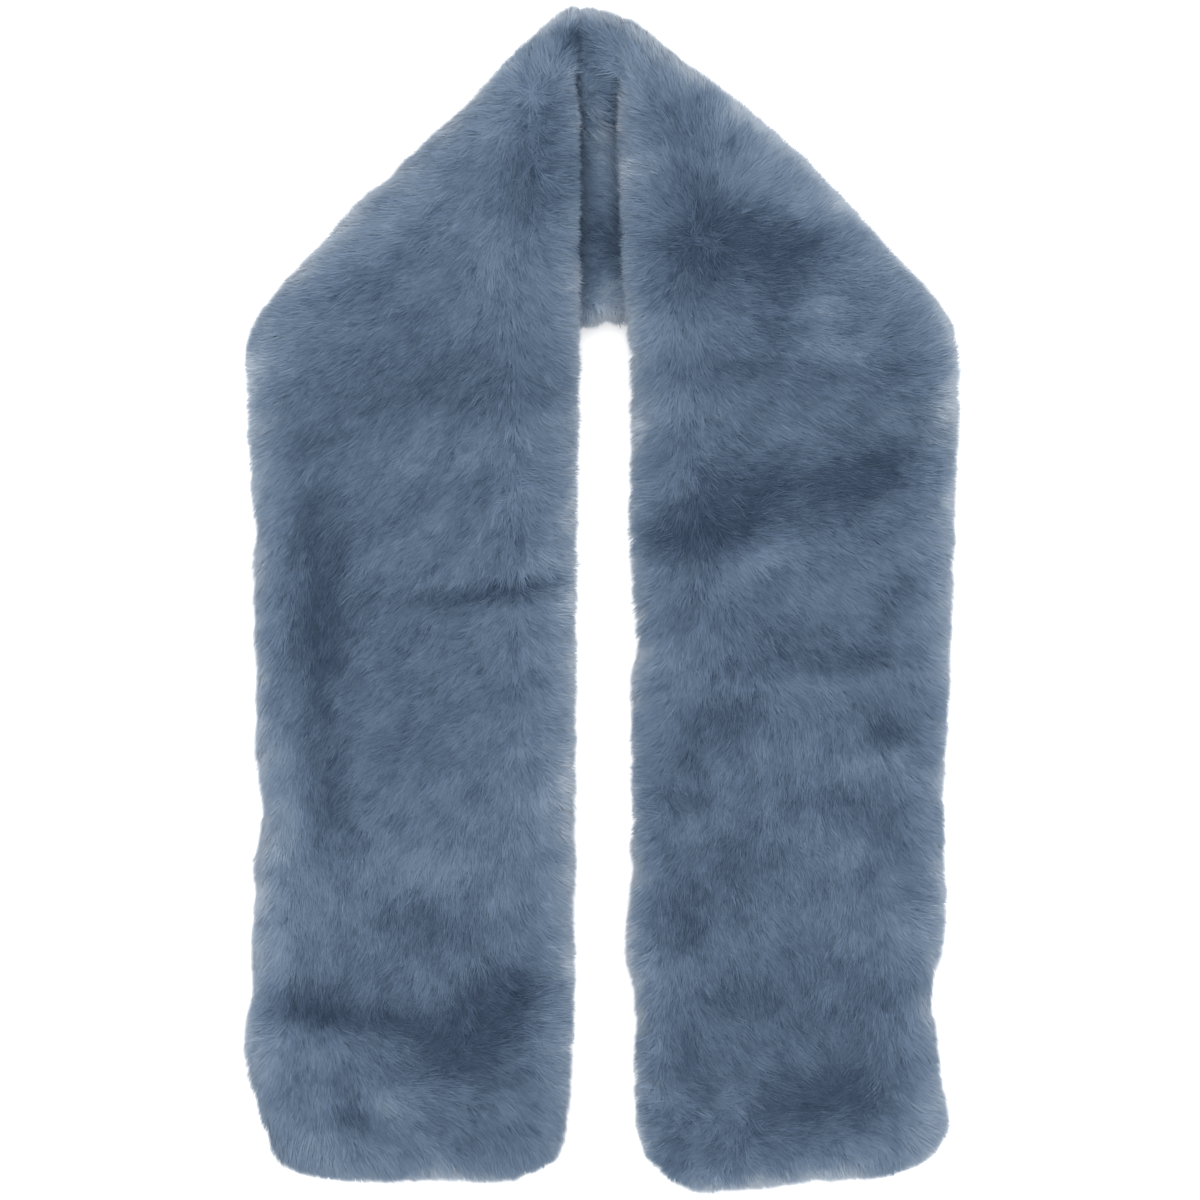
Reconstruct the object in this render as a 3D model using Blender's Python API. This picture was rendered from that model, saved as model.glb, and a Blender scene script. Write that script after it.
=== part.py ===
"""Fur collar wrap, laid flat and folded.

One long strip, fur on both sides: a face panel and a back panel of fur cloth, pile outwards, sewn
together round the edge. The middle of the strip, the neck, lies across the surface. Each end of the
strip, a tail, turns over the neck on a fold at 45 degrees and comes down beside the other tail.

Metres, +Z up, +Y from the hems to the neck, origin under the middle of the whole at the surface.
Each solid is a wall of fur cloth as thick as its pile stands: two grids of points, one for the pile
side and one for the skin side, joined round their rim.
"""

import math
from collections import namedtuple

import bmesh
import bpy
import numpy as np

MM = 0.001

# Thickness of the cloth, skin and pile together, and the gap kept between pieces that touch.
FACE_LOFT = 0.0216      # a face panel, its pile standing free
BACK_LOFT = 0.0097      # a back panel, its pile pressed by what lies on it
NECK_LOWER_LOFT = 0.0100
NECK_UPPER_LOFT = 0.0107
SEAM_GAP = 0.0003
NECK_END_GAP = 0.0009   # between the neck's ends and the rounds of the folds
EDGE_BLUNT = 0.0012     # thickness left at a side seam, where the panels meet

# How wide a band the pile needs to round off, from a seam to its full height.
FACE_ROLL = 0.018
BACK_ROLL = 0.008
NECK_ROLL = 0.015
ROLL_SHARES = np.array([0, 0.08, 0.24, 0.5, 0.78])      # where the points of a roll stand

# Heights of the stack at the neck.
NECK_SEAM = NECK_LOWER_LOFT + SEAM_GAP
NECK_TOP = NECK_SEAM + NECK_UPPER_LOFT
FOLD_CORE = 0.0005      # radius left open in the middle of a fold
FOLD_AXIS_HEIGHT = NECK_TOP + SEAM_GAP
TAIL_LIFT = FOLD_AXIS_HEIGHT + FOLD_CORE

# The round of a fold: it turns about a line in plan, FOLD_REACH inside the outermost fur. The strip
# runs round it aslant, so its outer side seam moves FOLD_SLIDE along that line on the way down.
FOLD_REACH = 0.026
FOLD_SLIDE = 0.030
FOLD_CORNER_ROLL = 0.030
FOLD_END_ROLL = 0.010
BACK_TURN = FOLD_CORE + BACK_LOFT
FACE_TURN = BACK_TURN + SEAM_GAP

# The neck's lower edge, and how far from it and from a fold a tail starts to climb.
NECK_LOWER_EDGE = 0.153
NECK_EDGE_DROP = 0.012
CLIMB_BEFORE_EDGE = 0.068
CLIMB_PAST_EDGE = -0.004
CLIMB_BEFORE_FOLD = 0.034
# How far from the middle the neck's edge starts to drop, and where it has dropped in full.
DROP_STARTS, DROP_FULL = 0.03, 0.17

# Where a tail stops running straight and its sections start to turn towards the fold.
KNEE = 0.070
HEM_CURVE_FADES = 0.060

# Up a tail, where the rolls of its side seams start to change towards the fold, and where they end.
OUTER_ROLL_CHANGES = (0.07, 0.12)
INNER_ROLL_CHANGES = (0.20, 0.29)

# Number of sections and of points in one.
FACE_ROWS = 32
BACK_ROWS = 6
TURNING_ROWS = 10
FOLD_ROWS = 8
POINTS_ACROSS = 12
NECK_POINTS_ALONG_Y = 6
NECK_CROWDED = 0.1      # share of the neck's width, at each edge, in which its points are crowded
SHARP_FROM = math.radians(50)

FACE_BLUE = (0.112, 0.162, 0.232)
BACK_BLUE = (0.095, 0.140, 0.204)

Station = namedtuple("Station", "y outer inner")
Share = namedtuple("Share", "across value")
Crease = namedtuple("Crease", "x y length width turn depth")

# Left tail, hem to neck, in mm: how far up, the outer side seam and the inner one.
LEFT_EDGES = [
    Station(-321, -152, -44),
    Station(-316, -176, -32),
    Station(-310, -183, -22),
    Station(-298, -187, -19),
    Station(-276, -194, -17),
    Station(-254, -197, -16),
    Station(-220, -193, -15),
    Station(-188, -194, -15),
    Station(-154, -193, -14.4),
    Station(-120, -188.5, -14.4),
    Station(-88, -192, -14.4),
    Station(-22, -193, -14),
    Station(12, -193.5, -13.8),
    Station(34, -191.5, -13.8),
    Station(78, -194, -13),
    Station(111, -194, -12.2),
    Station(330, -194, -12.2),
]
LEFT_HEM = [Share(0, 0.5), Share(0.35, -0.6), Share(0.55, 0.8), Share(0.85, -0.6), Share(1, 0.5)]
LEFT_FOLD_SET_BACK = [Share(0, 2.5), Share(0.2, 1), Share(0.34, -0.8), Share(0.62, 1.3), Share(0.75, 2.7),
                      Share(0.9, 2.2), Share(1, 3.4)]
LEFT_CREASES = [
    Crease(-151, 8, 120, 28, -87, 7.0),
    Crease(-146, -102, 70, 26, -82, 4.0),
    Crease(-62, 6.5, 110, 14, 9, 5.5),
    Crease(-83, 126, 140, 34, 6, 3.5),
    Crease(-158, -221, 64, 20, 4, 6.0),
    Crease(-107, -231, 80, 20, -6, 6.0),
    Crease(-64, -222, 68, 34, 32, 8.0),
    Crease(-131, -283, 34, 20, -20, 4.5),
    Crease(-36, 238, 46, 26, 70, 4.5),
]

# Right tail, the same way.
RIGHT_EDGES = [
    Station(-323, 161, 38),
    Station(-316, 180, 29),
    Station(-310, 187, 25),
    Station(-298, 192.3, 21.5),
    Station(-287, 192, 20.5),
    Station(-276, 189.5, 19.5),
    Station(-254, 188, 20),
    Station(-221, 185.5, 18.3),
    Station(-199, 189, 14.4),
    Station(-177, 191, 15.5),
    Station(-121, 190, 18.8),
    Station(-88, 191, 18.3),
    Station(-55, 192.7, 17.2),
    Station(-22, 194.4, 19.9),
    Station(12, 195.5, 18.3),
    Station(45, 196, 16.6),
    Station(78, 197, 17.7),
    Station(111, 197, 17.7),
    Station(144, 195.5, 16.4),
    Station(183, 195.5, 13.4),
    Station(285, 195.5, 10),
    Station(330, 195.5, 10),
]
RIGHT_HEM = [Share(0, 4), Share(0.35, 1.5), Share(0.65, -2.5), Share(0.9, -5), Share(1, 0)]
RIGHT_FOLD_SET_BACK = [Share(0, 1), Share(0.1, 0), Share(0.48, -3), Share(0.6, -1), Share(0.73, 1.4),
                       Share(0.87, 5.5), Share(0.96, 8), Share(1, 9.5)]
RIGHT_CREASES = [
    Crease(80, 197, 70, 32, 4, 7.0),
    Crease(98, 171, 44, 26, 60, 4.5),
    Crease(77, 133, 80, 13, -3, 4.0),
    Crease(160, 129, 50, 14, 3, 4.0),
    Crease(62, 50, 84, 34, 20, 7.5),
    Crease(140, 68, 76, 36, 28, 7.0),
    Crease(126, -29, 74, 16, 4, 4.0),
    Crease(56, -70, 52, 26, 70, 4.0),
    Crease(156, -66, 34, 22, -40, 5.0),
    Crease(41, -104, 34, 18, -10, 4.5),
    Crease(150, -130, 48, 24, -60, 3.0),
    Crease(41, -178, 40, 24, -70, 5.5),
    Crease(128, -268, 84, 32, 22, 6.5),
    Crease(55, -264, 72, 26, -80, 4.0),
]

# Where the outermost fur of a fold would meet the outer side seam, and which way is inwards.
Tail = namedtuple("Tail", "name inwards edges hem_mean hem corner set_back creases")
LEFT = Tail("left_tail", 1, LEFT_EDGES, -0.321, LEFT_HEM, (-0.194, 0.159), LEFT_FOLD_SET_BACK,
            LEFT_CREASES)
RIGHT = Tail("right_tail", -1, RIGHT_EDGES, -0.323, RIGHT_HEM, (0.1955, 0.157),
             RIGHT_FOLD_SET_BACK, RIGHT_CREASES)

# The neck between its two folds. Where the folds meet, its upper edge is gathered into a tuft.
NECK_CHANNEL = (-0.0116, 0.0094)
Edge = namedtuple("Edge", "x y")
NECK_UPPER_EDGE = [Edge(-12, 326), Edge(-5, 327.8), Edge(2, 327.4), Edge(10, 325)]
TUFT_STARTS, TUFT_FULL, TUFT_RISE = 0.280, 0.300, 0.024
TUFT_ROLL, TUFT_DEPTH = 0.009, 0.026
NECK_TIP = 0.006
CHANNEL_SECTIONS = 8
SECTIONS_UNDER_A_TAIL = 6


def rounded(distance, roll):
    """Share of the full height at a distance from an edge: a quarter ellipse over the roll."""
    part = np.clip(distance / roll, 0, 1)
    return np.sqrt(np.clip(1 - (1 - part) ** 2, 0, 1))


def eased(value, low, high):
    """0 below low, 1 above high, and a smooth step between."""
    part = np.clip((value - low) / (high - low), 0, 1)
    return part * part * (3 - 2 * part)


def read(rows, at_column, value_column, at):
    """A table's value, turned to metres, at a place in the table's own unit."""
    places = [getattr(row, at_column) for row in rows]
    values = [getattr(row, value_column) for row in rows]
    return np.interp(at, places, values) * MM


def crowded_at_ends(middle_points, length, roll):
    """Distances from 0 to length: close together within a roll of each end, even between."""
    ends = roll * ROLL_SHARES
    middle = np.linspace(roll, length - roll, middle_points)
    return np.concatenate([ends, middle, length - ends[::-1]])


def hollow_at(x, y, creases):
    """Depth of the soft hollows at a point: each is a long bell over its own length and width."""
    total = np.zeros_like(x)
    for crease in creases:
        turn = math.radians(crease.turn)
        dx, dy = x - crease.x * MM, y - crease.y * MM
        along = (dx * math.cos(turn) + dy * math.sin(turn)) / (crease.length * MM / 2)
        aside = (dy * math.cos(turn) - dx * math.sin(turn)) / (crease.width * MM / 2)
        total = np.maximum(total, crease.depth * MM * np.exp(-(along ** 2) - aside ** 2))
    return total


def neck_lower_edge(x):
    """The neck's lower edge in plan: straight where it shows, lower towards the folds."""
    return NECK_LOWER_EDGE - NECK_EDGE_DROP * eased(np.abs(x), DROP_STARTS, DROP_FULL)


def fold_line_y(tail, x):
    """The fold's turning line in plan: 45 degrees from the corner, set in by the fold's reach."""
    corner_x, corner_y = tail.corner
    run = (x - corner_x) * tail.inwards
    _, outer, inner = tail.edges[-1]
    share = run / (abs(inner - outer) * MM)
    set_back = read(tail.set_back, "across", "value", share)
    return corner_y + run - (FOLD_REACH + set_back) * math.sqrt(2)


def climb(tail, x, y):
    """Share of the full lift of a tail: it rises at the neck's lower edge and towards its fold."""
    past_edge = y - neck_lower_edge(x)
    over_neck = eased(past_edge, -CLIMB_BEFORE_EDGE, CLIMB_PAST_EDGE)
    before_fold = (fold_line_y(tail, x) - y) / math.sqrt(2)
    near_fold = eased(-before_fold, -CLIMB_BEFORE_FOLD, 0)
    return 1 - (1 - over_neck) * (1 - near_fold)


def tail_plan(tail, straight_rows):
    """Plan of a tail up to its fold: x, y, and each point's distance from the outer side seam, from
    the inner one and from the hem."""
    hem_rise = np.concatenate([FACE_ROLL * ROLL_SHARES,
                               np.linspace(FACE_ROLL, KNEE - tail.hem_mean, straight_rows)])
    stations = tail.hem_mean + hem_rise
    outer = read(tail.edges, "y", "outer", stations / MM)
    inner = read(tail.edges, "y", "inner", stations / MM)
    steps = crowded_at_ends(POINTS_ACROSS, 1.0, FACE_ROLL / abs(inner[-1] - outer[-1]))
    hem_curve = read(tail.hem, "across", "value", steps)
    fade = np.clip(1 - hem_rise / HEM_CURVE_FADES, 0, 1)
    straight_x = outer[:, None] + (inner - outer)[:, None] * steps
    straight_y = stations[:, None] + hem_curve * fade[:, None]

    turning_x, turning_y = [], []
    for share in np.linspace(0, 1, TURNING_ROWS + 1)[1:]:
        outer_y = KNEE + share * (fold_line_y(tail, tail.edges[-1].outer * MM) - KNEE)
        inner_y = KNEE + share * (fold_line_y(tail, tail.edges[-1].inner * MM) - KNEE)
        outer = read(tail.edges, "y", "outer", outer_y / MM)
        inner = read(tail.edges, "y", "inner", inner_y / MM)
        row_x = outer + (inner - outer) * steps
        turning_x.append(row_x)
        turning_y.append(KNEE + share * (fold_line_y(tail, row_x) - KNEE))

    x = np.vstack([straight_x, turning_x])
    y = np.vstack([straight_y, turning_y])
    width = np.abs(x[:, -1:] - x[:, :1])
    from_hem = np.concatenate([hem_rise, np.full(TURNING_ROWS, FACE_ROLL)])[:, None]
    return x, y, steps * width, (1 - steps) * width, from_hem


def points(x, y, z):
    """Three arrays of coordinates as one grid of points."""
    return np.stack(np.broadcast_arrays(x, y, z), axis=-1)


def turn(tail, x, y, angle, reach, height):
    """A row of points carried round the fold to an angle, from the fold's turning line: out by reach
    times the sine, up by height times the cosine, and along the line by a slide that keeps the
    inner side seam in one plane."""
    across = (x - x[0]) / (x[-1] - x[0])
    out = reach * math.sin(angle) / math.sqrt(2)
    along = (1 - across) * FOLD_SLIDE * angle / math.pi / math.sqrt(2) + across * out
    return points(x + (along - out) * tail.inwards, y + along + out,
                  FOLD_AXIS_HEIGHT + height * math.cos(angle))


def face_panel(tail):
    """A tail's upper ply, up over the fold and down to the surface: pile side and skin side."""
    x, y, from_outer, from_inner, from_hem = tail_plan(tail, FACE_ROWS)
    outer_roll = FACE_ROLL + (FOLD_CORNER_ROLL - FACE_ROLL) * eased(y, *OUTER_ROLL_CHANGES)
    inner_roll = FACE_ROLL + (FOLD_END_ROLL - FACE_ROLL) * eased(y, *INNER_ROLL_CHANGES)
    full = rounded(from_outer, outer_roll) * rounded(from_inner, inner_roll) * rounded(from_hem, FACE_ROLL)
    skin = TAIL_LIFT * climb(tail, x, y) + BACK_LOFT + SEAM_GAP
    hollow = hollow_at(x, y, tail.creases)
    pile = skin + EDGE_BLUNT + (FACE_LOFT - EDGE_BLUNT - hollow) * full
    pile_grid, skin_grid = [points(x, y, pile)], [points(x, y, skin)]
    x, y, full, hollow = x[-1], y[-1], full[-1], hollow[-1]
    edge = FACE_TURN + EDGE_BLUNT
    for angle in np.linspace(0, math.pi, FOLD_ROWS + 1)[1:]:
        if angle < math.pi / 2:
            height = FACE_TURN + FACE_LOFT - hollow
        else:
            height = FOLD_AXIS_HEIGHT
        reach = edge + (FOLD_REACH - edge) * full
        height = edge + (height - edge) * full
        pile_grid.append(turn(tail, x, y, angle, reach, height)[None])
        skin_grid.append(turn(tail, x, y, angle, FACE_TURN, FACE_TURN)[None])
    return np.concatenate(pile_grid), np.concatenate(skin_grid)


def back_panel(tail):
    """A tail's lower ply, closed round the core of the fold: skin side and pile side."""
    x, y, from_outer, from_inner, from_hem = tail_plan(tail, BACK_ROWS)
    full = rounded(np.minimum(from_outer, from_inner), BACK_ROLL) * rounded(from_hem, BACK_ROLL)
    skin = TAIL_LIFT * climb(tail, x, y) + BACK_LOFT
    pile = skin - EDGE_BLUNT - (BACK_LOFT - EDGE_BLUNT) * full
    skin_grid, pile_grid = [points(x, y, skin)], [points(x, y, pile)]
    x, y, full = x[-1], y[-1], full[-1]
    core = BACK_TURN - EDGE_BLUNT - (BACK_LOFT - EDGE_BLUNT) * full
    for angle in np.linspace(0, math.pi, FOLD_ROWS + 1)[1:]:
        skin_grid.append(turn(tail, x, y, angle, BACK_TURN, BACK_TURN)[None])
        pile_grid.append(turn(tail, x, y, angle, core, core)[None])
    return np.concatenate(skin_grid), np.concatenate(pile_grid)


def neck_plan():
    """Plan of the neck between its folds, and each point's distance from its free edges."""
    low, high = NECK_CHANNEL
    ends = []
    for tail in (LEFT, RIGHT):
        x, y, _, _, _ = tail_plan(tail, BACK_ROWS)
        end = turn(tail, x[-1], y[-1], math.pi, BACK_TURN, BACK_TURN)
        order = np.argsort(end[:, 0])
        ends.append((end[order, 0], end[order, 1] - NECK_END_GAP))
    (left_x, left_y), (right_x, right_y) = ends
    x = np.concatenate([
        np.linspace(left_x[0] + NECK_TIP, low - SEAM_GAP, SECTIONS_UNDER_A_TAIL),
        np.linspace(low, high, CHANNEL_SECTIONS),
        np.linspace(high + SEAM_GAP, right_x[-1] - NECK_TIP, SECTIONS_UNDER_A_TAIL),
    ])
    in_channel = (x > low - SEAM_GAP / 2) & (x < high + SEAM_GAP / 2)
    under_fold = np.where(x < 0, np.interp(x, left_x, left_y), np.interp(x, right_x, right_y))
    upper = np.where(in_channel, read(NECK_UPPER_EDGE, "x", "y", x / MM), under_fold)
    lower = neck_lower_edge(x)
    steps = crowded_at_ends(NECK_POINTS_ALONG_Y, 1.0, NECK_CROWDED)
    y = lower[:, None] + (upper - lower)[:, None] * steps
    below = y - lower[:, None]
    above = np.where(in_channel[:, None], upper[:, None] - y, NECK_ROLL + TUFT_DEPTH)
    return np.repeat(x[:, None], len(steps), axis=1), y, below, above


def neck_upper_ply():
    """The ply that shows between the tails, raised to a tuft where the two folds meet."""
    x, y, below, above = neck_plan()
    low, high = NECK_CHANNEL
    from_side = np.minimum(x - low, high - x)
    tuft = TUFT_RISE * eased(y, TUFT_STARTS, TUFT_FULL) * rounded(from_side, TUFT_ROLL)
    full = rounded(below, NECK_ROLL) * rounded(above, TUFT_DEPTH)
    pile = NECK_SEAM + EDGE_BLUNT + (NECK_UPPER_LOFT - EDGE_BLUNT + tuft) * full
    return points(x, y, pile), points(x, y, NECK_SEAM)


def neck_lower_ply():
    """The ply that lies on the surface."""
    x, y, below, above = neck_plan()
    full = rounded(below, BACK_ROLL) * rounded(above, BACK_ROLL)
    pile = NECK_LOWER_LOFT - EDGE_BLUNT - (NECK_LOWER_LOFT - EDGE_BLUNT) * full
    return points(x, y, NECK_LOWER_LOFT), points(x, y, pile)


def fur_blue(name, colour):
    """A dull, hairy blue."""
    material = bpy.data.materials.new(name)
    material.use_nodes = True
    shader = material.node_tree.nodes["Principled BSDF"]
    shader.inputs["Base Color"].default_value = (*colour, 1)
    shader.inputs["Roughness"].default_value = 0.85
    shader.inputs["Metallic"].default_value = 0.0
    return material


def ply(name, one_side, other_side, material):
    """One closed wall: two grids of points of the same size, and a band of faces round the rim."""
    mesh = bmesh.new()
    grids = [[[mesh.verts.new(p) for p in row] for row in grid] for grid in (one_side, other_side)]
    for grid in grids:
        for row, next_row in zip(grid, grid[1:]):
            for a, b, c, d in zip(row, row[1:], next_row[1:], next_row):
                mesh.faces.new((a, b, c, d))
    rims = []
    for grid in grids:
        rims.append(grid[0] + [row[-1] for row in grid[1:]] + grid[-1][-2::-1]
                    + [row[0] for row in grid[-2:0:-1]])
    for i in range(len(rims[0])):
        mesh.faces.new((rims[0][i - 1], rims[0][i], rims[1][i], rims[1][i - 1]))
    bmesh.ops.recalc_face_normals(mesh, faces=mesh.faces)
    data = bpy.data.meshes.new(name)
    mesh.to_mesh(data)
    mesh.free()
    data.shade_smooth()
    data.set_sharp_from_angle(angle=SHARP_FROM)
    data.materials.append(material)
    made = bpy.data.objects.new(name, data)
    bpy.context.scene.collection.objects.link(made)
    return made


def fur_collar_wrap():
    """The six plies, in the order in which they lie."""
    for old in list(bpy.data.objects):
        bpy.data.objects.remove(old)
    face, back = fur_blue("fur_face", FACE_BLUE), fur_blue("fur_back", BACK_BLUE)
    ply("neck_back", *neck_lower_ply(), back)
    ply("neck_face", *neck_upper_ply(), face)
    for tail in (LEFT, RIGHT):
        ply(tail.name + "_back", *back_panel(tail), back)
        ply(tail.name + "_face", *face_panel(tail), face)


fur_collar_wrap()
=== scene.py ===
"""Fur collar wrap, laid flat and folded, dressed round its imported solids.

Metres, +Z up. Every piece is built in place, in the frame of the solids that it stands for.
"""

import math
from collections import namedtuple

import bpy
import numpy as np
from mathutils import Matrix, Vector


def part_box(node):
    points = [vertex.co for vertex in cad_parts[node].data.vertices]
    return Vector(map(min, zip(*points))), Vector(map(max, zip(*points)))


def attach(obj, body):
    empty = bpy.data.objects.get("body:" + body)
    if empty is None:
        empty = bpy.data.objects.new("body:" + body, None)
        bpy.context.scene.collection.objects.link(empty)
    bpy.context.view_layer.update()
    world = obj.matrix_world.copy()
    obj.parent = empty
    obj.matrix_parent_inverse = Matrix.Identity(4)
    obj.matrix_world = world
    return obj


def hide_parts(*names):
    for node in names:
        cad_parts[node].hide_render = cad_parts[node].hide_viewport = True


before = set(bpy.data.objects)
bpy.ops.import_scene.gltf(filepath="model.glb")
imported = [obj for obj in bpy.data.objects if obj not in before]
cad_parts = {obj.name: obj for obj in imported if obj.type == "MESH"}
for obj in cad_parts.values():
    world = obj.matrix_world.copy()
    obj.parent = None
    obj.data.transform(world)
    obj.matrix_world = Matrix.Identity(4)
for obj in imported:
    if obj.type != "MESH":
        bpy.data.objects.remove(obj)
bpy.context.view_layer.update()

# ---------------------------------------------------------------------------------------------
# Fur cloth of the tails. Each tail is two panels of long-pile fur cloth, sewn together round the
# edge with the pile outwards. It runs from its hem to a fold on the bias, turns over the neck
# there and ends against it. The cloth here is the knitted ground with its dense underfur.
# ---------------------------------------------------------------------------------------------

MM = 0.001

Station = namedtuple("Station", "y outer inner")
Share = namedtuple("Share", "across value")
Hollow = namedtuple("Hollow", "x y length width turn depth")
Tail = namedtuple("Tail", "name inwards edges hem_y hem corner set_back hollows")

# Hem to neck, in mm: how far up, the outer side seam and the inner one.
LEFT_EDGES = [
    Station(-321, -152, -44),
    Station(-316, -176, -32),
    Station(-310, -183, -22),
    Station(-298, -187, -19),
    Station(-276, -194, -17),
    Station(-254, -197, -16),
    Station(-220, -193, -15),
    Station(-188, -194, -15),
    Station(-154, -193, -14.4),
    Station(-120, -188.5, -14.4),
    Station(-88, -192, -14.4),
    Station(-22, -193, -14),
    Station(12, -193.5, -13.8),
    Station(34, -191.5, -13.8),
    Station(78, -194, -13),
    Station(111, -194, -12.2),
    Station(330, -194, -12.2),
]
LEFT_HEM = [Share(0, 0.5), Share(0.35, -0.6), Share(0.55, 0.8), Share(0.85, -0.6), Share(1, 0.5)]
LEFT_SET_BACK = [Share(0, 2.5), Share(0.2, 1), Share(0.34, -0.8), Share(0.62, 1.3), Share(0.75, 2.7),
                 Share(0.9, 2.2), Share(1, 3.4)]
# Soft hollows in the pile, in mm and degrees: middle, full length and width, lie, depth.
LEFT_HOLLOWS = [
    Hollow(-151, 8, 120, 28, -87, 7.0),
    Hollow(-146, -102, 70, 26, -82, 4.0),
    Hollow(-62, 6.5, 110, 14, 9, 5.5),
    Hollow(-83, 126, 140, 34, 6, 3.5),
    Hollow(-158, -221, 64, 20, 4, 6.0),
    Hollow(-107, -231, 80, 20, -6, 6.0),
    Hollow(-64, -222, 68, 34, 32, 8.0),
    Hollow(-131, -283, 34, 20, -20, 4.5),
    Hollow(-36, 238, 46, 26, 70, 4.5),
]
RIGHT_EDGES = [
    Station(-323, 161, 38),
    Station(-316, 180, 29),
    Station(-310, 187, 25),
    Station(-298, 192.3, 21.5),
    Station(-287, 192, 20.5),
    Station(-276, 189.5, 19.5),
    Station(-254, 188, 20),
    Station(-221, 185.5, 18.3),
    Station(-199, 189, 14.4),
    Station(-177, 191, 15.5),
    Station(-121, 190, 18.8),
    Station(-88, 191, 18.3),
    Station(-55, 192.7, 17.2),
    Station(-22, 194.4, 19.9),
    Station(12, 195.5, 18.3),
    Station(45, 196, 16.6),
    Station(78, 197, 17.7),
    Station(111, 197, 17.7),
    Station(144, 195.5, 16.4),
    Station(183, 195.5, 13.4),
    Station(285, 195.5, 10),
    Station(330, 195.5, 10),
]
RIGHT_HEM = [Share(0, 4), Share(0.35, 1.5), Share(0.65, -2.5), Share(0.9, -5), Share(1, 0)]
RIGHT_SET_BACK = [Share(0, 1), Share(0.1, 0), Share(0.48, -3), Share(0.6, -1), Share(0.73, 1.4),
                  Share(0.87, 5.5), Share(0.96, 8), Share(1, 9.5)]
RIGHT_HOLLOWS = [
    Hollow(80, 197, 70, 32, 4, 7.0),
    Hollow(98, 171, 44, 26, 60, 4.5),
    Hollow(77, 133, 80, 13, -3, 4.0),
    Hollow(160, 129, 50, 14, 3, 4.0),
    Hollow(62, 50, 84, 34, 20, 7.5),
    Hollow(140, 68, 76, 36, 28, 7.0),
    Hollow(126, -29, 74, 16, 4, 4.0),
    Hollow(56, -70, 52, 26, 70, 4.0),
    Hollow(156, -66, 34, 22, -40, 5.0),
    Hollow(41, -104, 34, 18, -10, 4.5),
    Hollow(150, -130, 48, 24, -60, 3.0),
    Hollow(41, -178, 40, 24, -70, 5.5),
    Hollow(128, -268, 84, 32, 22, 6.5),
    Hollow(55, -264, 72, 26, -80, 4.0),
]
TAILS = [
    Tail("left_tail", 1, LEFT_EDGES, -0.321, LEFT_HEM, (-0.194, 0.159), LEFT_SET_BACK,
         LEFT_HOLLOWS),
    Tail("right_tail", -1, RIGHT_EDGES, -0.323, RIGHT_HEM, (0.1955, 0.157), RIGHT_SET_BACK,
         RIGHT_HOLLOWS),
]

# The pile's outer layer, which the combed locks fill, taken off the solids' outside all round. At the
# sides it is taken off less where the two folds meet.
SIDE_PILE = 0.0055
TOP_PILE = 0.0055
UNDER_PILE = 0.0008
FOLDS_CLOSE_UP, CLOSED_SHARE = (0.286, 0.298), 0.8

# Thickness of the panels, the gap between them, and what is left of one at a side seam.
FACE_LOFT = 0.0216
BACK_LOFT = 0.0097
NECK_UPPER_LOFT = 0.0107
SEAM_GAP = 0.0003
EDGE_BLUNT = 0.0010

# How wide a band the pile needs to round off. On a face panel the band is wider at the outer seam
# near the fold, and narrower at the inner seam near the apex.
FACE_ROLL, BACK_ROLL, ROLL_CHANGE = 0.014, 0.008, 0.010
OUTER_ROLL_GROWS = (0.07, 0.12)
INNER_ROLL_SHRINKS = (0.25, 0.29)

# Heights of the stack at the neck, and the round of a fold over it.
NECK_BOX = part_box("neck_face")
NECK_SEAM = NECK_BOX[0].z
NECK_TOP = NECK_SEAM + NECK_UPPER_LOFT
FOLD_AXIS_Z = NECK_TOP + SEAM_GAP
FOLD_CORE = 0.0005
TAIL_LIFT = FOLD_AXIS_Z + FOLD_CORE
BACK_TURN = FOLD_CORE + BACK_LOFT
FACE_TURN = BACK_TURN + SEAM_GAP
FOLD_REACH = 0.026
FOLD_SLIDE = 0.030

# The neck's lower edge, how far it drops to the sides, and how far from it and from a fold a tail
# starts to climb.
NECK_LOWER_EDGE = 0.153
NECK_EDGE_DROP = 0.012
DROP_STARTS, DROP_FULL = 0.03, 0.17
CLIMB_BEFORE_EDGE = 0.068
CLIMB_PAST_EDGE = -0.004
CLIMB_BEFORE_FOLD = 0.034

# A tail's grid: level rows up to the knee, then rows that turn to the fold's 45 degrees. The spacing
# of its points across is worked out for one width between the seams.
KNEE = 0.070
HEM_CURVE_FADES = 0.060
PLAN_WIDTH = 0.170
ROUND_ROWS, STRAIGHT_ROWS, TURNING_ROWS, FOLD_ROWS = 6, 62, 22, 12
POINTS_ACROSS = 24


def rounded(distance, roll):
    """Share of the full height at a distance from an edge: a quarter ellipse over the roll."""
    part = np.clip(distance / roll, 0, 1)
    return np.sqrt(np.clip(1 - (1 - part) ** 2, 0, 1))


def eased(value, low, high):
    """0 below low, 1 above high, and a smooth step between."""
    part = np.clip((value - low) / (high - low), 0, 1)
    return part * part * (3 - 2 * part)


def read(rows, at_column, value_column, at):
    """A table's value, turned to metres, at a place in the table's own unit."""
    places = [getattr(row, at_column) for row in rows]
    values = [getattr(row, value_column) for row in rows]
    return np.interp(at, places, values) * MM


def over_a_round(roll):
    """Distances from an edge whose heights on its quarter ellipse are evenly spaced round it."""
    return roll * (1 - np.cos(np.linspace(0, math.pi / 2, ROUND_ROWS)))


def bell(x, y, row):
    """A long bell in plan, exp(-along^2 - aside^2), over a table row's own length and width."""
    turn = math.radians(row.turn)
    dx, dy = x - row.x * MM, y - row.y * MM
    along = (dx * math.cos(turn) + dy * math.sin(turn)) / (row.length * MM / 2)
    aside = (dy * math.cos(turn) - dx * math.sin(turn)) / (row.width * MM / 2)
    return np.exp(-(along ** 2) - aside ** 2)


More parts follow.
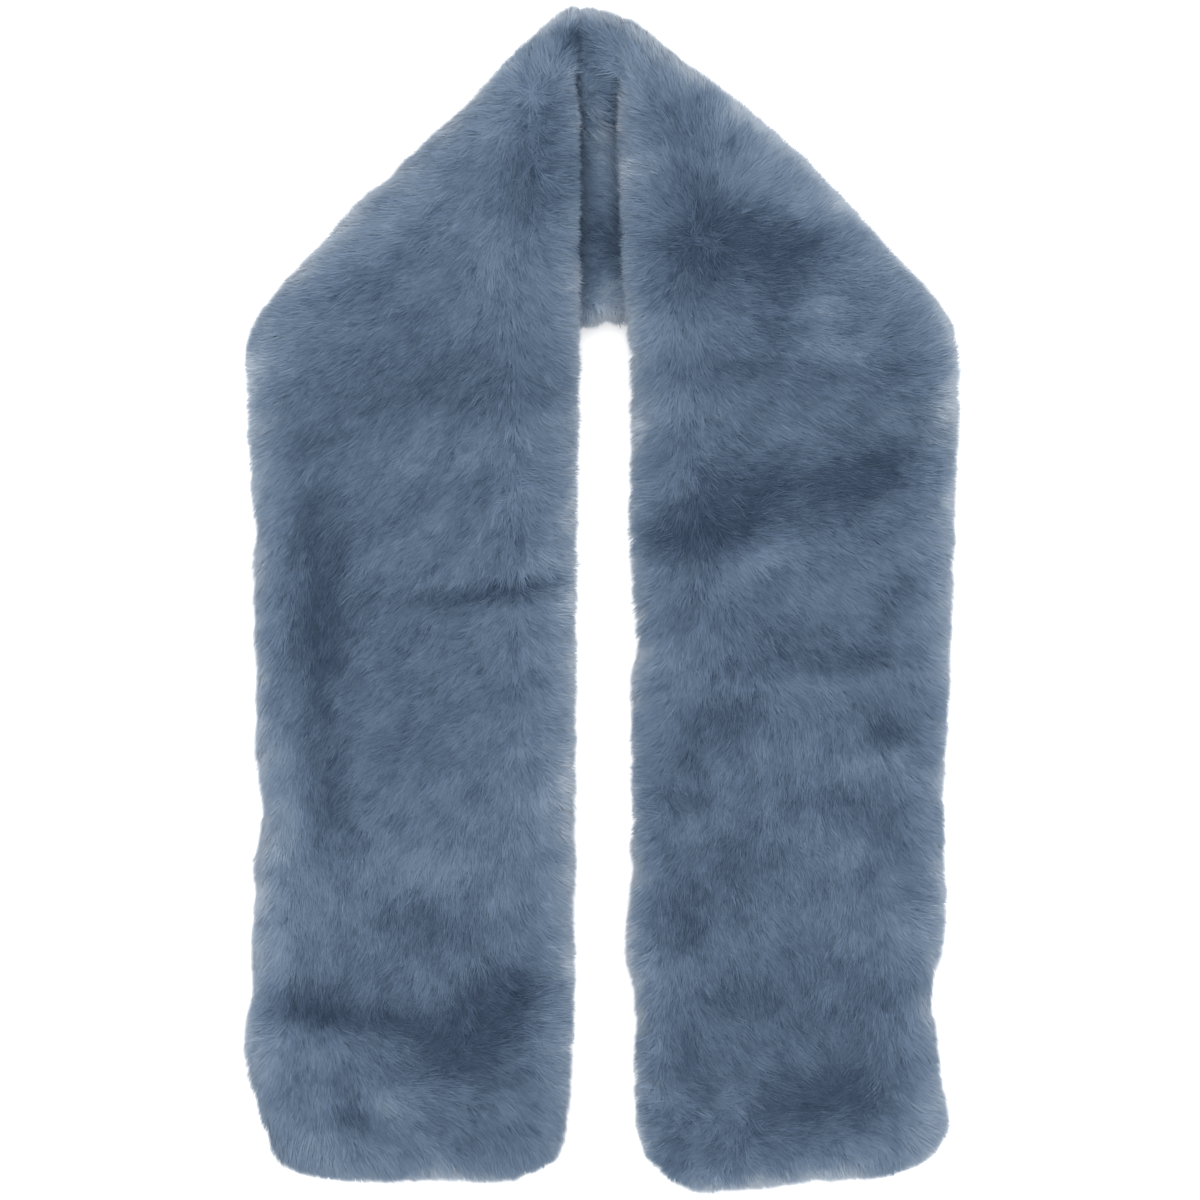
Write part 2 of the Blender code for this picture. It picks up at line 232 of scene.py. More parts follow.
def hollow_at(x, y, hollows):
    """Depth of the hollows at each point: the deepest of their bells."""
    return np.max([row.depth * MM * bell(x, y, row) for row in hollows], axis=0)


def side_pile(y):
    """How far the pile's outer layer is taken off an inner seam: less where the folds meet."""
    return SIDE_PILE * (1 - CLOSED_SHARE * eased(y, *FOLDS_CLOSE_UP))


def fold_line_y(tail, x):
    """The fold's turning line in plan: 45 degrees from the corner, set in by the fold's reach."""
    corner_x, corner_y = tail.corner
    run = (x - corner_x) * tail.inwards
    share = run / (abs(tail.edges[-1].inner - tail.edges[-1].outer) * MM)
    set_back = read(tail.set_back, "across", "value", share)
    return corner_y + run - (FOLD_REACH + set_back) * math.sqrt(2)


def neck_lower_edge(x):
    """The neck's lower edge in plan: its middle, less a smooth drop to both sides."""
    return NECK_LOWER_EDGE - NECK_EDGE_DROP * eased(np.abs(x), DROP_STARTS, DROP_FULL)


def climb(tail, x, y):
    """Share of a tail's full lift: it rises at the neck's lower edge and towards its fold."""
    over_neck = eased(y - neck_lower_edge(x), -CLIMB_BEFORE_EDGE, CLIMB_PAST_EDGE)
    near_fold = eased((y - fold_line_y(tail, x)) / math.sqrt(2), -CLIMB_BEFORE_FOLD, 0)
    return 1 - (1 - over_neck) * (1 - near_fold)


def tail_plan(tail, roll):
    """A tail's plan up to its fold, pile's outer layer off: x, y and each point's distance from the
    outer side seam, the inner one and the hem. Rows run hem to neck and points outer to inner."""
    hem_rise = np.concatenate([over_a_round(roll)[:-1],
                               np.linspace(roll, KNEE - tail.hem_y - SIDE_PILE, STRAIGHT_ROWS)])
    stations = tail.hem_y + hem_rise
    steps = np.concatenate([over_a_round(roll)[:-1],
                            np.linspace(roll, PLAN_WIDTH - roll, POINTS_ACROSS),
                            PLAN_WIDTH - over_a_round(roll)[-2::-1]]) / PLAN_WIDTH
    outer = read(tail.edges, "y", "outer", stations / MM) + SIDE_PILE * tail.inwards
    inner = read(tail.edges, "y", "inner", stations / MM) - SIDE_PILE * tail.inwards
    hem_curve = read(tail.hem, "across", "value", steps)
    fade = np.clip(1 - hem_rise / HEM_CURVE_FADES, 0, 1)
    straight_x = outer[:, None] + (inner - outer)[:, None] * steps
    straight_y = stations[:, None] + SIDE_PILE + hem_curve * fade[:, None]

    turning_x, turning_y = [], []
    for share in np.linspace(0, 1, TURNING_ROWS + 1)[1:]:
        outer_y = KNEE + share * (fold_line_y(tail, tail.edges[-1].outer * MM) - KNEE)
        inner_y = KNEE + share * (fold_line_y(tail, tail.edges[-1].inner * MM) - KNEE)
        outer = read(tail.edges, "y", "outer", outer_y / MM) + SIDE_PILE * tail.inwards
        inner = read(tail.edges, "y", "inner", inner_y / MM) - side_pile(inner_y) * tail.inwards
        row_x = outer + (inner - outer) * steps
        turning_x.append(row_x)
        turning_y.append(KNEE + share * (fold_line_y(tail, row_x) - KNEE))

    x = np.vstack([straight_x, turning_x])
    y = np.vstack([straight_y, turning_y])
    width = np.abs(x[:, -1:] - x[:, :1])
    from_hem = np.concatenate([hem_rise, np.full(TURNING_ROWS, roll)])[:, None]
    return x, y, steps * width, (1 - steps) * width, from_hem


def points(x, y, z):
    """Three arrays of coordinates as one grid of points."""
    return np.stack(np.broadcast_arrays(x, y, z), axis=-1)


def turned(tail, x, y, angle, reach, height):
    """A row carried round the fold to an angle: out from the turning line by reach times the sine,
    up by height times the cosine, and along the line so that the inner seam stays in one plane."""
    across = (x - x[0]) / (x[-1] - x[0])
    out = reach * math.sin(angle) / math.sqrt(2)
    along = (1 - across) * FOLD_SLIDE * angle / math.pi / math.sqrt(2) + across * out
    return points(x + (along - out) * tail.inwards, y + along + out,
                  FOLD_AXIS_Z + height * math.cos(angle))


def face_grids(tail):
    """The upper panel's pile side and ground side, from its hem up over the fold and down."""
    x, y, from_outer, from_inner, from_hem = tail_plan(tail, FACE_ROLL)
    outer_roll = FACE_ROLL + ROLL_CHANGE * eased(y, *OUTER_ROLL_GROWS)
    inner_roll = FACE_ROLL - ROLL_CHANGE * eased(y, *INNER_ROLL_SHRINKS)
    full = (rounded(from_outer, outer_roll) * rounded(from_inner, inner_roll)
            * rounded(from_hem, FACE_ROLL))
    ground = TAIL_LIFT * climb(tail, x, y) + BACK_LOFT + SEAM_GAP
    hollow = hollow_at(x, y, tail.hollows)
    thick = FACE_LOFT - TOP_PILE - EDGE_BLUNT - hollow
    pile_rows = [points(x, y, ground + EDGE_BLUNT + thick * full)]
    ground_rows = [points(x, y, ground)]
    x, y, full, hollow = x[-1], y[-1], full[-1], hollow[-1]
    edge = FACE_TURN + EDGE_BLUNT
    reach = edge + (FOLD_REACH - SIDE_PILE - edge) * full
    above = FACE_TURN + FACE_LOFT - TOP_PILE - hollow
    below = FOLD_AXIS_Z - UNDER_PILE
    for angle in np.linspace(0, math.pi, FOLD_ROWS + 1)[1:]:
        height = edge + ((above if angle < math.pi / 2 else below) - edge) * full
        pile_rows.append(turned(tail, x, y, angle, reach, height)[None])
        ground_rows.append(turned(tail, x, y, angle, FACE_TURN, FACE_TURN)[None])
    return np.concatenate(pile_rows), np.concatenate(ground_rows)


def back_grids(tail):
    """The lower panel's pile side and ground side, closed round the core of the fold."""
    x, y, from_outer, from_inner, from_hem = tail_plan(tail, BACK_ROLL)
    full = rounded(np.minimum(from_outer, from_inner), BACK_ROLL) * rounded(from_hem, BACK_ROLL)
    ground = TAIL_LIFT * climb(tail, x, y) + BACK_LOFT
    thick = BACK_LOFT - UNDER_PILE - EDGE_BLUNT
    pile_rows = [points(x, y, ground - EDGE_BLUNT - thick * full)]
    ground_rows = [points(x, y, ground)]
    x, y, full = x[-1], y[-1], full[-1]
    core = BACK_TURN - EDGE_BLUNT - thick * full
    for angle in np.linspace(0, math.pi, FOLD_ROWS + 1)[1:]:
        pile_rows.append(turned(tail, x, y, angle, core, core)[None])
        ground_rows.append(turned(tail, x, y, angle, BACK_TURN, BACK_TURN)[None])
    return np.concatenate(pile_rows), np.concatenate(ground_rows)


def wall(name, pile_side, ground_side):
    """One closed wall from two grids of points: a quad for each cell and a band round the rim."""
    rows, columns = pile_side.shape[:2]
    index = np.arange(rows * columns).reshape(rows, columns)
    cells = np.stack([index[:-1, :-1], index[:-1, 1:], index[1:, 1:], index[1:, :-1]], axis=-1)
    rim = np.concatenate([index[0], index[1:, -1], index[-1, -2::-1], index[-2:0:-1, 0]])
    behind = rim + index.size
    band = np.stack([rim, np.roll(rim, 1), np.roll(behind, 1), behind], axis=-1)
    quads = np.concatenate([cells.reshape(-1, 4), cells.reshape(-1, 4)[:, ::-1] + index.size, band])
    vertices = np.concatenate([pile_side.reshape(-1, 3), ground_side.reshape(-1, 3)])
    corners = vertices[quads]
    across, along = corners[:, 2] - corners[:, 0], corners[:, 3] - corners[:, 1]
    if np.einsum("ij,ij->", corners.mean(axis=1), np.cross(across, along)) < 0:
        quads = quads[:, ::-1]
    mesh = bpy.data.meshes.new(name)
    mesh.from_pydata(vertices, [], quads)
    mesh.shade_smooth()
    made = bpy.data.objects.new(name, mesh)
    bpy.context.scene.collection.objects.link(made)
    return made


class Socket:
    """A shader value that adds its own Math nodes when it is used in an expression."""

    def __init__(self, material, output):
        self.material, self.output = material, output

    def math(self, operation, *others):
        made = self.material.node("ShaderNodeMath", {"operation": operation},
                                  dict(enumerate([self, *others])))
        return made.out()

    def __add__(self, other):
        return self.math("ADD", other)

    def __mul__(self, other):
        return self.math("MULTIPLY", other)

    def __sub__(self, other):
        return self.math("SUBTRACT", other)

    def __rsub__(self, other):
        return self.math("MULTIPLY_ADD", -1.0, other)

    __radd__, __rmul__ = __add__, __mul__


class Node:
    """A node of a material, for its outputs."""

    def __init__(self, material, node):
        self.material, self.made = material, node

    def out(self, name=0):
        return Socket(self.material, self.made.outputs[name])


class Material:
    """A Principled material that is built node by node."""

    def __init__(self, name, constants):
        self.data = bpy.data.materials.new(name)
        self.data.use_nodes = True
        self.tree = self.data.node_tree
        self.shader = self.tree.nodes["Principled BSDF"]
        for socket, value in constants.items():
            self.shader.inputs[socket].default_value = value

    def node(self, kind, settings=(), inputs=()):
        """Any other node: its settings first, then its sockets' values or links. A ramp's stops are
        given as a list of (place, colour)."""
        made = self.tree.nodes.new(kind)
        for setting, value in dict(settings).items():
            if setting == "stops":
                while len(made.color_ramp.elements) < len(value):
                    made.color_ramp.elements.new(1.0)
                for element, (place, colour) in zip(made.color_ramp.elements, value):
                    element.position, element.color = place, (*colour, 1)
            else:
                setattr(made, setting, value)
        for socket, value in dict(inputs).items():
            if isinstance(value, Socket):
                self.tree.links.new(value.output, made.inputs[socket])
            else:
                made.inputs[socket].default_value = value
        return Node(self, made)

    def feed(self, socket, value):
        """Links a value to one of the shader's own sockets."""
        self.tree.links.new(value.output, self.shader.inputs[socket])


# The fur's colours, from the dark of its roots to its palest tips. The pale end is reached mostly where
# painted light raises the tone, at the edges and in the light patches.
FUR_ROOT = (0.027, 0.045, 0.078)
FUR_SHADE = (0.053, 0.083, 0.136)
FUR_BLUE = (0.115, 0.170, 0.250)
FUR_PALE = (0.190, 0.252, 0.336)
FUR_TIP = (0.440, 0.490, 0.550)


def underfur():
    """Dense wool under the locks: dark blue, mottled, with a fine crimp in its surface."""
    made = Material("underfur", {"Roughness": 0.9, "Specular IOR Level": 0.2})
    place = made.node("ShaderNodeTexCoord").out("Object")
    tufts = made.node("ShaderNodeTexNoise", {},
                      {"Vector": place, "Scale": 260.0, "Detail": 4.0}).out("Fac")
    light_and_shade = made.node("ShaderNodeTexNoise", {},
                        {"Vector": place, "Scale": 30.0, "Detail": 2.0}).out("Fac")
    tone = tufts * 0.6 + light_and_shade * 0.4
    colour = made.node("ShaderNodeValToRGB",
                       {"stops": [(0.3, FUR_SHADE), (0.8, FUR_BLUE)]},
                       {"Fac": tone}).out("Color")
    made.feed("Base Color", colour)
    crimp = made.node("ShaderNodeBump", {},
                      {"Strength": 0.6, "Distance": 0.0015, "Height": tufts}).out("Normal")
    made.feed("Normal", crimp)
    return made.data


UNDERFUR = underfur()
surfaces = {}


def lay_cloth(name, pile_side, ground_side):
    """The cloth of one stretch of a panel, in place of its solid."""
    cloth = wall(name + "_cloth", pile_side, ground_side)
    cloth.data.materials.append(UNDERFUR)
    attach(cloth, "root")
    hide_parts(name)
    surfaces[name] = pile_side


for tail in TAILS:
    lay_cloth(tail.name + "_face", *face_grids(tail))
    lay_cloth(tail.name + "_back", *back_grids(tail))

# ---------------------------------------------------------------------------------------------
# Fur cloth of the neck. The same two panels between the folds: flat on the surface under the
# tails, seen only in the channel between them, and gathered into a tuft where the folds meet.
# ---------------------------------------------------------------------------------------------

Edge = namedtuple("Edge", "x y")

# The channel between the tails, the neck's ends under the folds, and its edges that show.
CHANNEL = (-0.0116, 0.0094)
NECK_END_GAP = 3 * SEAM_GAP
NECK_END_INSET = 0.006
NECK_UPPER_EDGE = [Edge(-12, 326), Edge(-5, 327.8), Edge(2, 327.4), Edge(10, 325)]
NECK_UPPER_INSET = 0.009
NECK_EDGE_LIFT, NECK_EDGE_ARCH, NECK_ARCH_MIDDLE = 0.0009, 0.0028, 0.003
NECK_ROLL, NECK_SIDE_ROLL = 0.012, 0.0012
NECK_TOP_PILE = 0.6 * TOP_PILE
NECK_COLUMNS = (10, 10, 10)
NECK_ROWS = 44

# Between which heights in plan the cloth rises to the tuft and leans to the left fold, how far it
# does, and how long a stretch it needs to roll down over its upper edge.
TUFT_RISES, TUFT_RISE = (0.246, 0.294), 0.028
TUFT_LEANS, TUFT_LEAN = (0.246, 0.272), 0.0045
TUFT_DEPTH = 0.024

# The tuft's pile: its crest in plan in mm, its dip beside the left fold, how far it reaches across,
# back and up from the middle of its round, and the angles between which it turns.
TUFT_EDGE = [
    Edge(-21, 315.5), Edge(-15, 319.5), Edge(-7, 321.8), Edge(4, 321.4), Edge(12, 317.2),
    Edge(20, 310.5),
]
TUFT_HOLLOWS = [Hollow(-13, 305, 19, 10, -62, 13)]
TUFT_SIDES, TUFT_REACH, TUFT_HEIGHT = (-0.021, 0.020), 0.030, 0.0265
TUFT_FIRST_ANGLE, TUFT_LAST_ANGLE = 0.16, 2.3
TUFT_SIDE_TURN, TUFT_SIDE_SPAN = 0.06, 0.012
TUFT_COLUMNS = 14


def neck_plan():
    """Plan of the neck between its folds: x, y, distance above its lower edge and below its upper
    one, which counts only in the channel. The grid's rows run left to right."""
    low, high = CHANNEL
    ends = []
    for tail in TAILS:
        x, y, _, _, _ = tail_plan(tail, BACK_ROLL)
        end = turned(tail, x[-1], y[-1], math.pi, BACK_TURN, BACK_TURN)
        order = np.argsort(end[:, 0])
        ends.append((end[order, 0], end[order, 1] - NECK_END_GAP))
    (left_x, left_y), (right_x, right_y) = ends
    x = np.concatenate([np.linspace(left_x[0] + NECK_END_INSET, low - SEAM_GAP, NECK_COLUMNS[0]),
                        np.linspace(low, high, NECK_COLUMNS[1]),
                        np.linspace(high + SEAM_GAP, right_x[-1] - NECK_END_INSET, NECK_COLUMNS[2])])
    seen = (x > low - SEAM_GAP / 2) & (x < high + SEAM_GAP / 2)
    under_fold = np.where(x < 0, np.interp(x, left_x, left_y), np.interp(x, right_x, right_y))
    upper = np.where(seen, read(NECK_UPPER_EDGE, "x", "y", x / MM) - NECK_UPPER_INSET, under_fold)
    arch = NECK_EDGE_ARCH * ((x - NECK_ARCH_MIDDLE) / high).clip(-1, 1) ** 2
    lower = neck_lower_edge(x) + SIDE_PILE + NECK_EDGE_LIFT - arch
    steps = np.linspace(0, 1, NECK_ROWS)
    y = lower[:, None] + (upper - lower)[:, None] * (1 - np.cos(steps * math.pi)) / 2
    above = np.where(seen[:, None], upper[:, None] - y, NECK_ROLL + TUFT_DEPTH)
    return np.repeat(x[:, None], len(steps), axis=1), y, y - lower[:, None], above


def neck_face_grids():
    """The neck's upper panel: its pile side rises to the tuft, leans over there to close up with the
    left fold, and rolls down at both free edges."""
    x, y, below, above = neck_plan()
    low, high = CHANNEL
    from_side = rounded(np.minimum(x - low, high - x), NECK_SIDE_ROLL)
    tuft = TUFT_RISE * eased(y, *TUFT_RISES) * from_side
    full = rounded(below, NECK_ROLL) * rounded(above, TUFT_DEPTH)
    thick = NECK_TOP - NECK_SEAM - EDGE_BLUNT - NECK_TOP_PILE + tuft
    leftwards = ((high - x) / (high - low)).clip(0, 1) ** 2
    x = x - TUFT_LEAN * eased(y, *TUFT_LEANS) * leftwards
    return points(x, y, NECK_SEAM + EDGE_BLUNT + thick * full), points(x, y, NECK_SEAM)


def tuft_grid():
    """The pile's surface over the tuft, from one fold to the other: a quarter round and a little more,
    y = crest - reach (1 - sin), z = middle + height cos, that goes down over the neck's upper edge."""
    x = np.linspace(*TUFT_SIDES, TUFT_COLUMNS)[:, None]
    first = TUFT_FIRST_ANGLE - TUFT_SIDE_TURN * (x / TUFT_SIDE_SPAN) ** 2
    angle = first + (TUFT_LAST_ANGLE - first) * np.linspace(0, 1, TUFT_COLUMNS)
    y = read(TUFT_EDGE, "x", "y", x / MM) - TUFT_REACH * (1 - np.sin(angle))
    dip = hollow_at(x, y, TUFT_HOLLOWS) * (angle < math.pi / 2)
    return points(x, y, FOLD_AXIS_Z + TUFT_HEIGHT * np.cos(angle) - dip)


def neck_back_grids():
    """The neck's lower panel, flat on the surface."""
    x, y, below, above = neck_plan()
    full = rounded(below, BACK_ROLL) * rounded(above, BACK_ROLL)
    ground = NECK_SEAM - SEAM_GAP
    blunt = ground - EDGE_BLUNT
    return points(x, y, blunt - (blunt - UNDER_PILE) * full), points(x, y, ground)


lay_cloth("neck_face", *neck_face_grids())
lay_cloth("neck_back", *neck_back_grids())

# ---------------------------------------------------------------------------------------------
# Locks of fur. The long guard hairs stand on the cloth in small locks that lean the way they were
# brushed: away from the middle of each tail, down towards the hems, and out over every seam.
# ---------------------------------------------------------------------------------------------

Brush = namedtuple("Brush", "x y toward")
Patch = namedtuple("Patch", "x y length width turn tone")


def strokes(rows):
    """A brush table from its rows: a height in plan, then the strokes there as (across, toward)."""
    return [Brush(x, y, toward) for y, *places in rows for x, toward in places]


# Where the tips point, in degrees from +X towards +Y, at places in mm.
LEFT_BRUSH = strokes([
    (318, (-24, 82)), (308, (-16, 75)), (303, (-36, 84)), (295, (-50, 150)), (296, (-20, 58)),
    (291, (-36, 95)), (282, (-46, 180)), (281, (-29, 20)), (275, (-62, 203)), (262, (-70, 203)),
    (268, (-43, 215)), (266, (-27, 0)), (245, (-90, 198)), (241, (-43, 240)), (242, (-27, 355)),
    (212, (-130, 184)), (214, (-105, 192)), (218, (-80, 212)), (215, (-60, 222)),
    (213, (-43, 250), (-27, 5)), (187, (-150, 193)), (184, (-110, 203), (-80, 212)), (182, (-57, 272)),
    (180, (-43, 312)), (182, (-20, 345)), (152, (-185, 193)),
    (155, (-150, 198), (-110, 212), (-80, 222), (-60, 228)), (153, (-43, 315)), (155, (-20, 348)),
    (125, (-187, 198)),
    (127, (-150, 204), (-110, 212), (-80, 216)), (129, (-56, 205)), (127, (-42, 330), (-20, 345)),
    (98, (-187, 212), (-150, 214), (-110, 220), (-80, 225), (-54, 222), (-40, 318), (-20, 345)),
    (70, (-187, 228), (-160, 225), (-110, 222), (-70, 228), (-54, 225)), (73, (-42, 340), (-20, 350)),
    (42, (-187, 240), (-160, 232), (-110, 222), (-70, 228), (-55, 228), (-42, 322), (-20, 345)),
    (12, (-187, 247)), (10, (-172, 246)),
    (12, (-158, 265), (-140, 238), (-110, 222), (-70, 228), (-54, 225), (-42, 325), (-20, 350)),
    (-16, (-187, 250)), (-12, (-158, 262)), (-8, (-142, 250)),
    (-15, (-110, 222), (-70, 222), (-54, 228), (-40, 318), (-20, 340)),
    (-46, (-187, 258), (-160, 236), (-110, 215), (-70, 218), (-52, 225)), (-48, (-42, 310)),
    (-46, (-20, 345)),
    (-76, (-187, 256), (-160, 242), (-110, 206), (-82, 214), (-54, 228)), (-80, (-39, 315)),
    (-76, (-20, 345)), (-106, (-187, 250)), (-108, (-158, 272)),
    (-106, (-130, 228), (-100, 238), (-60, 245), (-38, 285)), (-110, (-20, 330)),
    (-140, (-187, 248), (-158, 278), (-130, 260), (-100, 245), (-60, 262), (-38, 298)),
    (-145, (-20, 325)), (-172, (-187, 250)),
    (-175, (-158, 268), (-120, 260), (-86, 258), (-60, 265), (-38, 312)), (-177, (-20, 325)),
    (-205, (-190, 234), (-160, 262)), (-206, (-130, 238)), (-208, (-105, 240)), (-205, (-78, 258)),
    (-212, (-56, 330)), (-215, (-43, 5), (-20, 355)),
    (-234, (-187, 212), (-160, 278), (-140, 318), (-112, 350)),
    (-236, (-88, 230), (-56, 5), (-30, 352)), (-262, (-187, 256)), (-260, (-160, 256)),
    (-262, (-135, 288), (-100, 10), (-75, 350), (-45, 320)), (-264, (-20, 315)), (-290, (-185, 270)),
    (-294, (-150, 265)),
    (-290, (-125, 320), (-90, 330), (-60, 310), (-25, 315)),
    (-312, (-170, 272), (-120, 305), (-85, 310), (-55, 295), (-35, 305)),
])
RIGHT_BRUSH = strokes([
    (318, (14, 96)), (304, (16, 112)), (292, (16, 118)), (280, (14, 142)), (302, (30, 118)),
    (285, (30, 128)), (287, (43, 124)), (282, (58, 108)), (255, (14, 158)),
    (262, (29, 145), (43, 122), (58, 102), (72, 74)), (252, (86, 52)), (235, (14, 165)),
    (238, (29, 156)),
    (240, (43, 122), (58, 104), (74, 64)), (238, (100, 46)), (224, (38, 132), (55, 94)),
    (221, (74, 54)), (222, (88, 42)), (224, (115, 46)), (210, (130, 45)), (211, (115, 42)),
    (212, (100, 34)), (213, (20, 170)),
    (210, (34, 164), (45, 134), (56, 84)), (208, (68, 32)), (206, (83, 10)), (199, (29, 182)),
    (198, (42, 186)), (190, (55, 262)),
    (197, (69, 350), (86, 352), (102, 14)), (198, (120, 8)), (196, (145, 22)),
    (184, (20, 190), (38, 214)), (178, (54, 278)),
    (184, (70, 335), (92, 6), (125, 4), (160, 4)), (168, (22, 208), (34, 222)), (162, (44, 275)),
    (168, (60, 345), (86, 346), (115, 336), (140, 350)), (166, (165, 18)), (155, (178, 28)),
    (150, (24, 215), (34, 224)),
    (148, (46, 285), (62, 338), (90, 344), (120, 350)), (146, (150, 18)), (141, (187, 32)),
    (125, (24, 214), (38, 216), (56, 350), (86, 343), (115, 338), (140, 338), (165, 4), (187, 14)),
    (102, (24, 208), (40, 213), (56, 342), (86, 335), (115, 339), (145, 350), (187, 357)),
    (78, (24, 205), (42, 200)), (80, (58, 350)),
    (78, (84, 0), (112, 8), (145, 358), (187, 356)), (56, (24, 202), (42, 196)),
    (58, (60, 2), (86, 24), (115, 4), (145, 340), (187, 338)),
    (38, (24, 205), (42, 210), (58, 310), (74, 328), (98, 346), (130, 323), (160, 332), (187, 324)),
    (14, (24, 215), (43, 230), (58, 292), (74, 318), (100, 316), (130, 322)), (12, (160, 316)),
    (14, (187, 318)),
    (-18, (26, 236), (43, 250), (58, 270), (78, 308), (104, 322), (130, 326)),
    (-20, (155, 322), (187, 316)),
    (-46, (26, 220), (43, 248), (58, 268), (72, 262), (86, 290), (105, 320), (130, 312), (158, 298),
     (185, 318)),
    (-76, (26, 212), (43, 226), (58, 262), (72, 244), (86, 265), (115, 268), (145, 270), (162, 315),
     (180, 325)),
    (-104, (24, 160), (44, 320), (58, 262), (86, 250), (115, 266), (150, 285), (180, 312)),
    (-134, (24, 236), (43, 238)), (-130, (72, 242)),
    (-134, (86, 264), (101, 280), (115, 312), (144, 288), (178, 312)),
    (-162, (24, 224), (43, 280), (72, 286), (90, 294), (130, 252)), (-164, (148, 290)),
    (-165, (165, 334), (182, 344)),
    (-188, (24, 226), (43, 264), (60, 290)), (-186, (86, 298)), (-184, (102, 314)), (-186, (130, 246)),
    (-188, (146, 258), (168, 318)), (-214, (24, 238), (43, 272)), (-216, (60, 314)),
    (-212, (86, 282), (115, 262), (132, 246), (158, 262), (180, 275)), (-245, (24, 222)),
    (-240, (43, 284)), (-244, (60, 322), (80, 315)), (-246, (101, 324), (118, 312)), (-250, (144, 218)),
    (-246, (165, 290), (182, 312)), (-275, (24, 208)), (-270, (43, 338)), (-278, (62, 2)),
    (-272, (86, 342)), (-276, (110, 350), (130, 14)), (-268, (146, 220)), (-274, (160, 322)),
    (-275, (180, 318)), (-292, (30, 205), (56, 226)),
    (-290, (72, 222), (90, 10), (115, 0), (144, 346), (162, 326), (180, 334)), (-306, (32, 190)),
    (-307, (58, 186)), (-305, (86, 335)),
    (-306, (105, 314), (132, 312), (156, 300), (178, 322)), (-319, (46, 318)), (-320, (76, 315)),
    (-319, (100, 296)), (136, (47, 268)), (113, (47, 272)), (90, (48, 268)), (67, (49, 262)),
    (47, (50, 258)), (27, (50, 262)), (0, (50, 258)),
])
NECK_BRUSH = strokes([
    (157, (-8, 245), (0, 268), (10, 290)), (172, (-6, 28), (6, 40)), (186, (0, 8)), (202, (0, 350)),
    (220, (-6, 345), (6, 8)), (238, (0, 355)), (250, (0, 345)),
    (262, (9, 312), (-4, 330), (-11, 75)), (276, (0, 340)), (280, (-11, 75)), (282, (9, 20)),
    (290, (0, 30)),
])
TUFT_BRUSH = strokes([
    (322, (-20, 82)), (308, (-18, 74)), (296, (-18, 45)), (325, (-8, 108)), (317, (-8, 138)),
    (308, (-8, 166)), (300, (-8, 178)), (292, (-8, 184)), (325, (2, 100)), (317, (2, 124)),
    (308, (2, 162)), (299, (2, 180)), (292, (2, 190)), (324, (10, 86)), (316, (12, 104)),
    (307, (12, 130)), (298, (13, 152)), (291, (13, 176)), (315, (20, 88)), (303, (20, 112)),
    (292, (20, 130)),
])
UNDER_BRUSH = strokes([(0, (-150, 250), (-50, 290), (50, 250), (150, 290))])

# Painted light and shade: where the nap is turned from the light or to it, and painted shade in the
# hollows, creases, the channel's sides and the pit by the left fold, in mm and degrees: middle, size,
# lie, tone.
LEFT_LIGHT_AND_SHADE = [
    Patch(-34, 270, 44, 22, 90, -0.08), Patch(-34, 232, 56, 30, 75, -0.30),
    Patch(-15, 222, 124, 12, 90, -0.38), Patch(-16.5, 300, 16, 11, -75, -1),
    Patch(-22, 287, 16, 10, 0, 0.20), Patch(-40, 300, 30, 24, 0, -0.12), Patch(-88, 254, 40, 20, 40, -0.14),
    Patch(-56, 202, 50, 24, 75, 0.14), Patch(-85, 226, 30, 20, 0, 0.10), Patch(-130, 205, 70, 26, 45, 0.12),
    Patch(-162, 130, 30, 24, 0, 0.10), Patch(-182, 132, 60, 34, 90, 0.12), Patch(-63, 52, 30, 20, 0, -0.10),
    Patch(-137, 93, 34, 20, 0, -0.08), Patch(-174, -22, 80, 22, 90, -0.16),
    Patch(-118, -12, 34, 20, 0, -0.08), Patch(-182, 45, 26, 20, 0, -0.12),
    Patch(-184, -290, 60, 26, 76, -0.24), Patch(-74, -307, 64, 20, 0, -0.12),
    Patch(-110, 163, 50, 26, -20, -0.10), Patch(-84, 125, 130, 36, 4, -0.20),
    Patch(-118, 42, 40, 20, 20, -0.06), Patch(-96, 92, 70, 20, 6, 0.08),
    Patch(-150, 14, 130, 34, -88, -0.42), Patch(-155, -18, 70, 26, -84, -0.20),
    Patch(-59, 9, 110, 12, 8, -0.34), Patch(-24, 12, 22, 18, 0, 0.20), Patch(-106, -40, 50, 26, 30, -0.10),
    Patch(-48, -40, 24, 20, 0, -0.18), Patch(-96, -70, 60, 34, 40, -0.12),
    Patch(-37, -103, 24, 20, 0, 0.12), Patch(-147, -100, 74, 28, -84, -0.28),
    Patch(-92, -140, 60, 30, 10, 0.14), Patch(-140, -154, 30, 24, 0, 0.12),
    Patch(-96, -175, 60, 28, -10, -0.22), Patch(-156, -215, 72, 28, 4, -0.48),
    Patch(-108, -230, 80, 25, -8, -0.38), Patch(-89, -212, 22, 24, 0, 0.20),
    Patch(-127, -215, 24, 16, 0, 0.14),
    Patch(-69, -223, 60, 38, 34, -0.64), Patch(-186, -216, 20, 30, 0, 0.16),
    Patch(-78, -255, 50, 34, 0, -0.26), Patch(-112, -257, 70, 16, 0, -0.22),
    Patch(-121, -273, 34, 15, 80, 0.29), Patch(-115, -302, 30, 20, 0, -0.14),
    Patch(-171, -299, 24, 20, 0, -0.14), Patch(-138, -282, 30, 18, -20, -0.30),
    Patch(-155, -298, 40, 28, 0, 0.16), Patch(-76, -294, 46, 28, 0, -0.18),
    Patch(-29, -280, 30, 40, 0, -0.12), Patch(-29, -199, 22, 26, 0, 0.12),
]
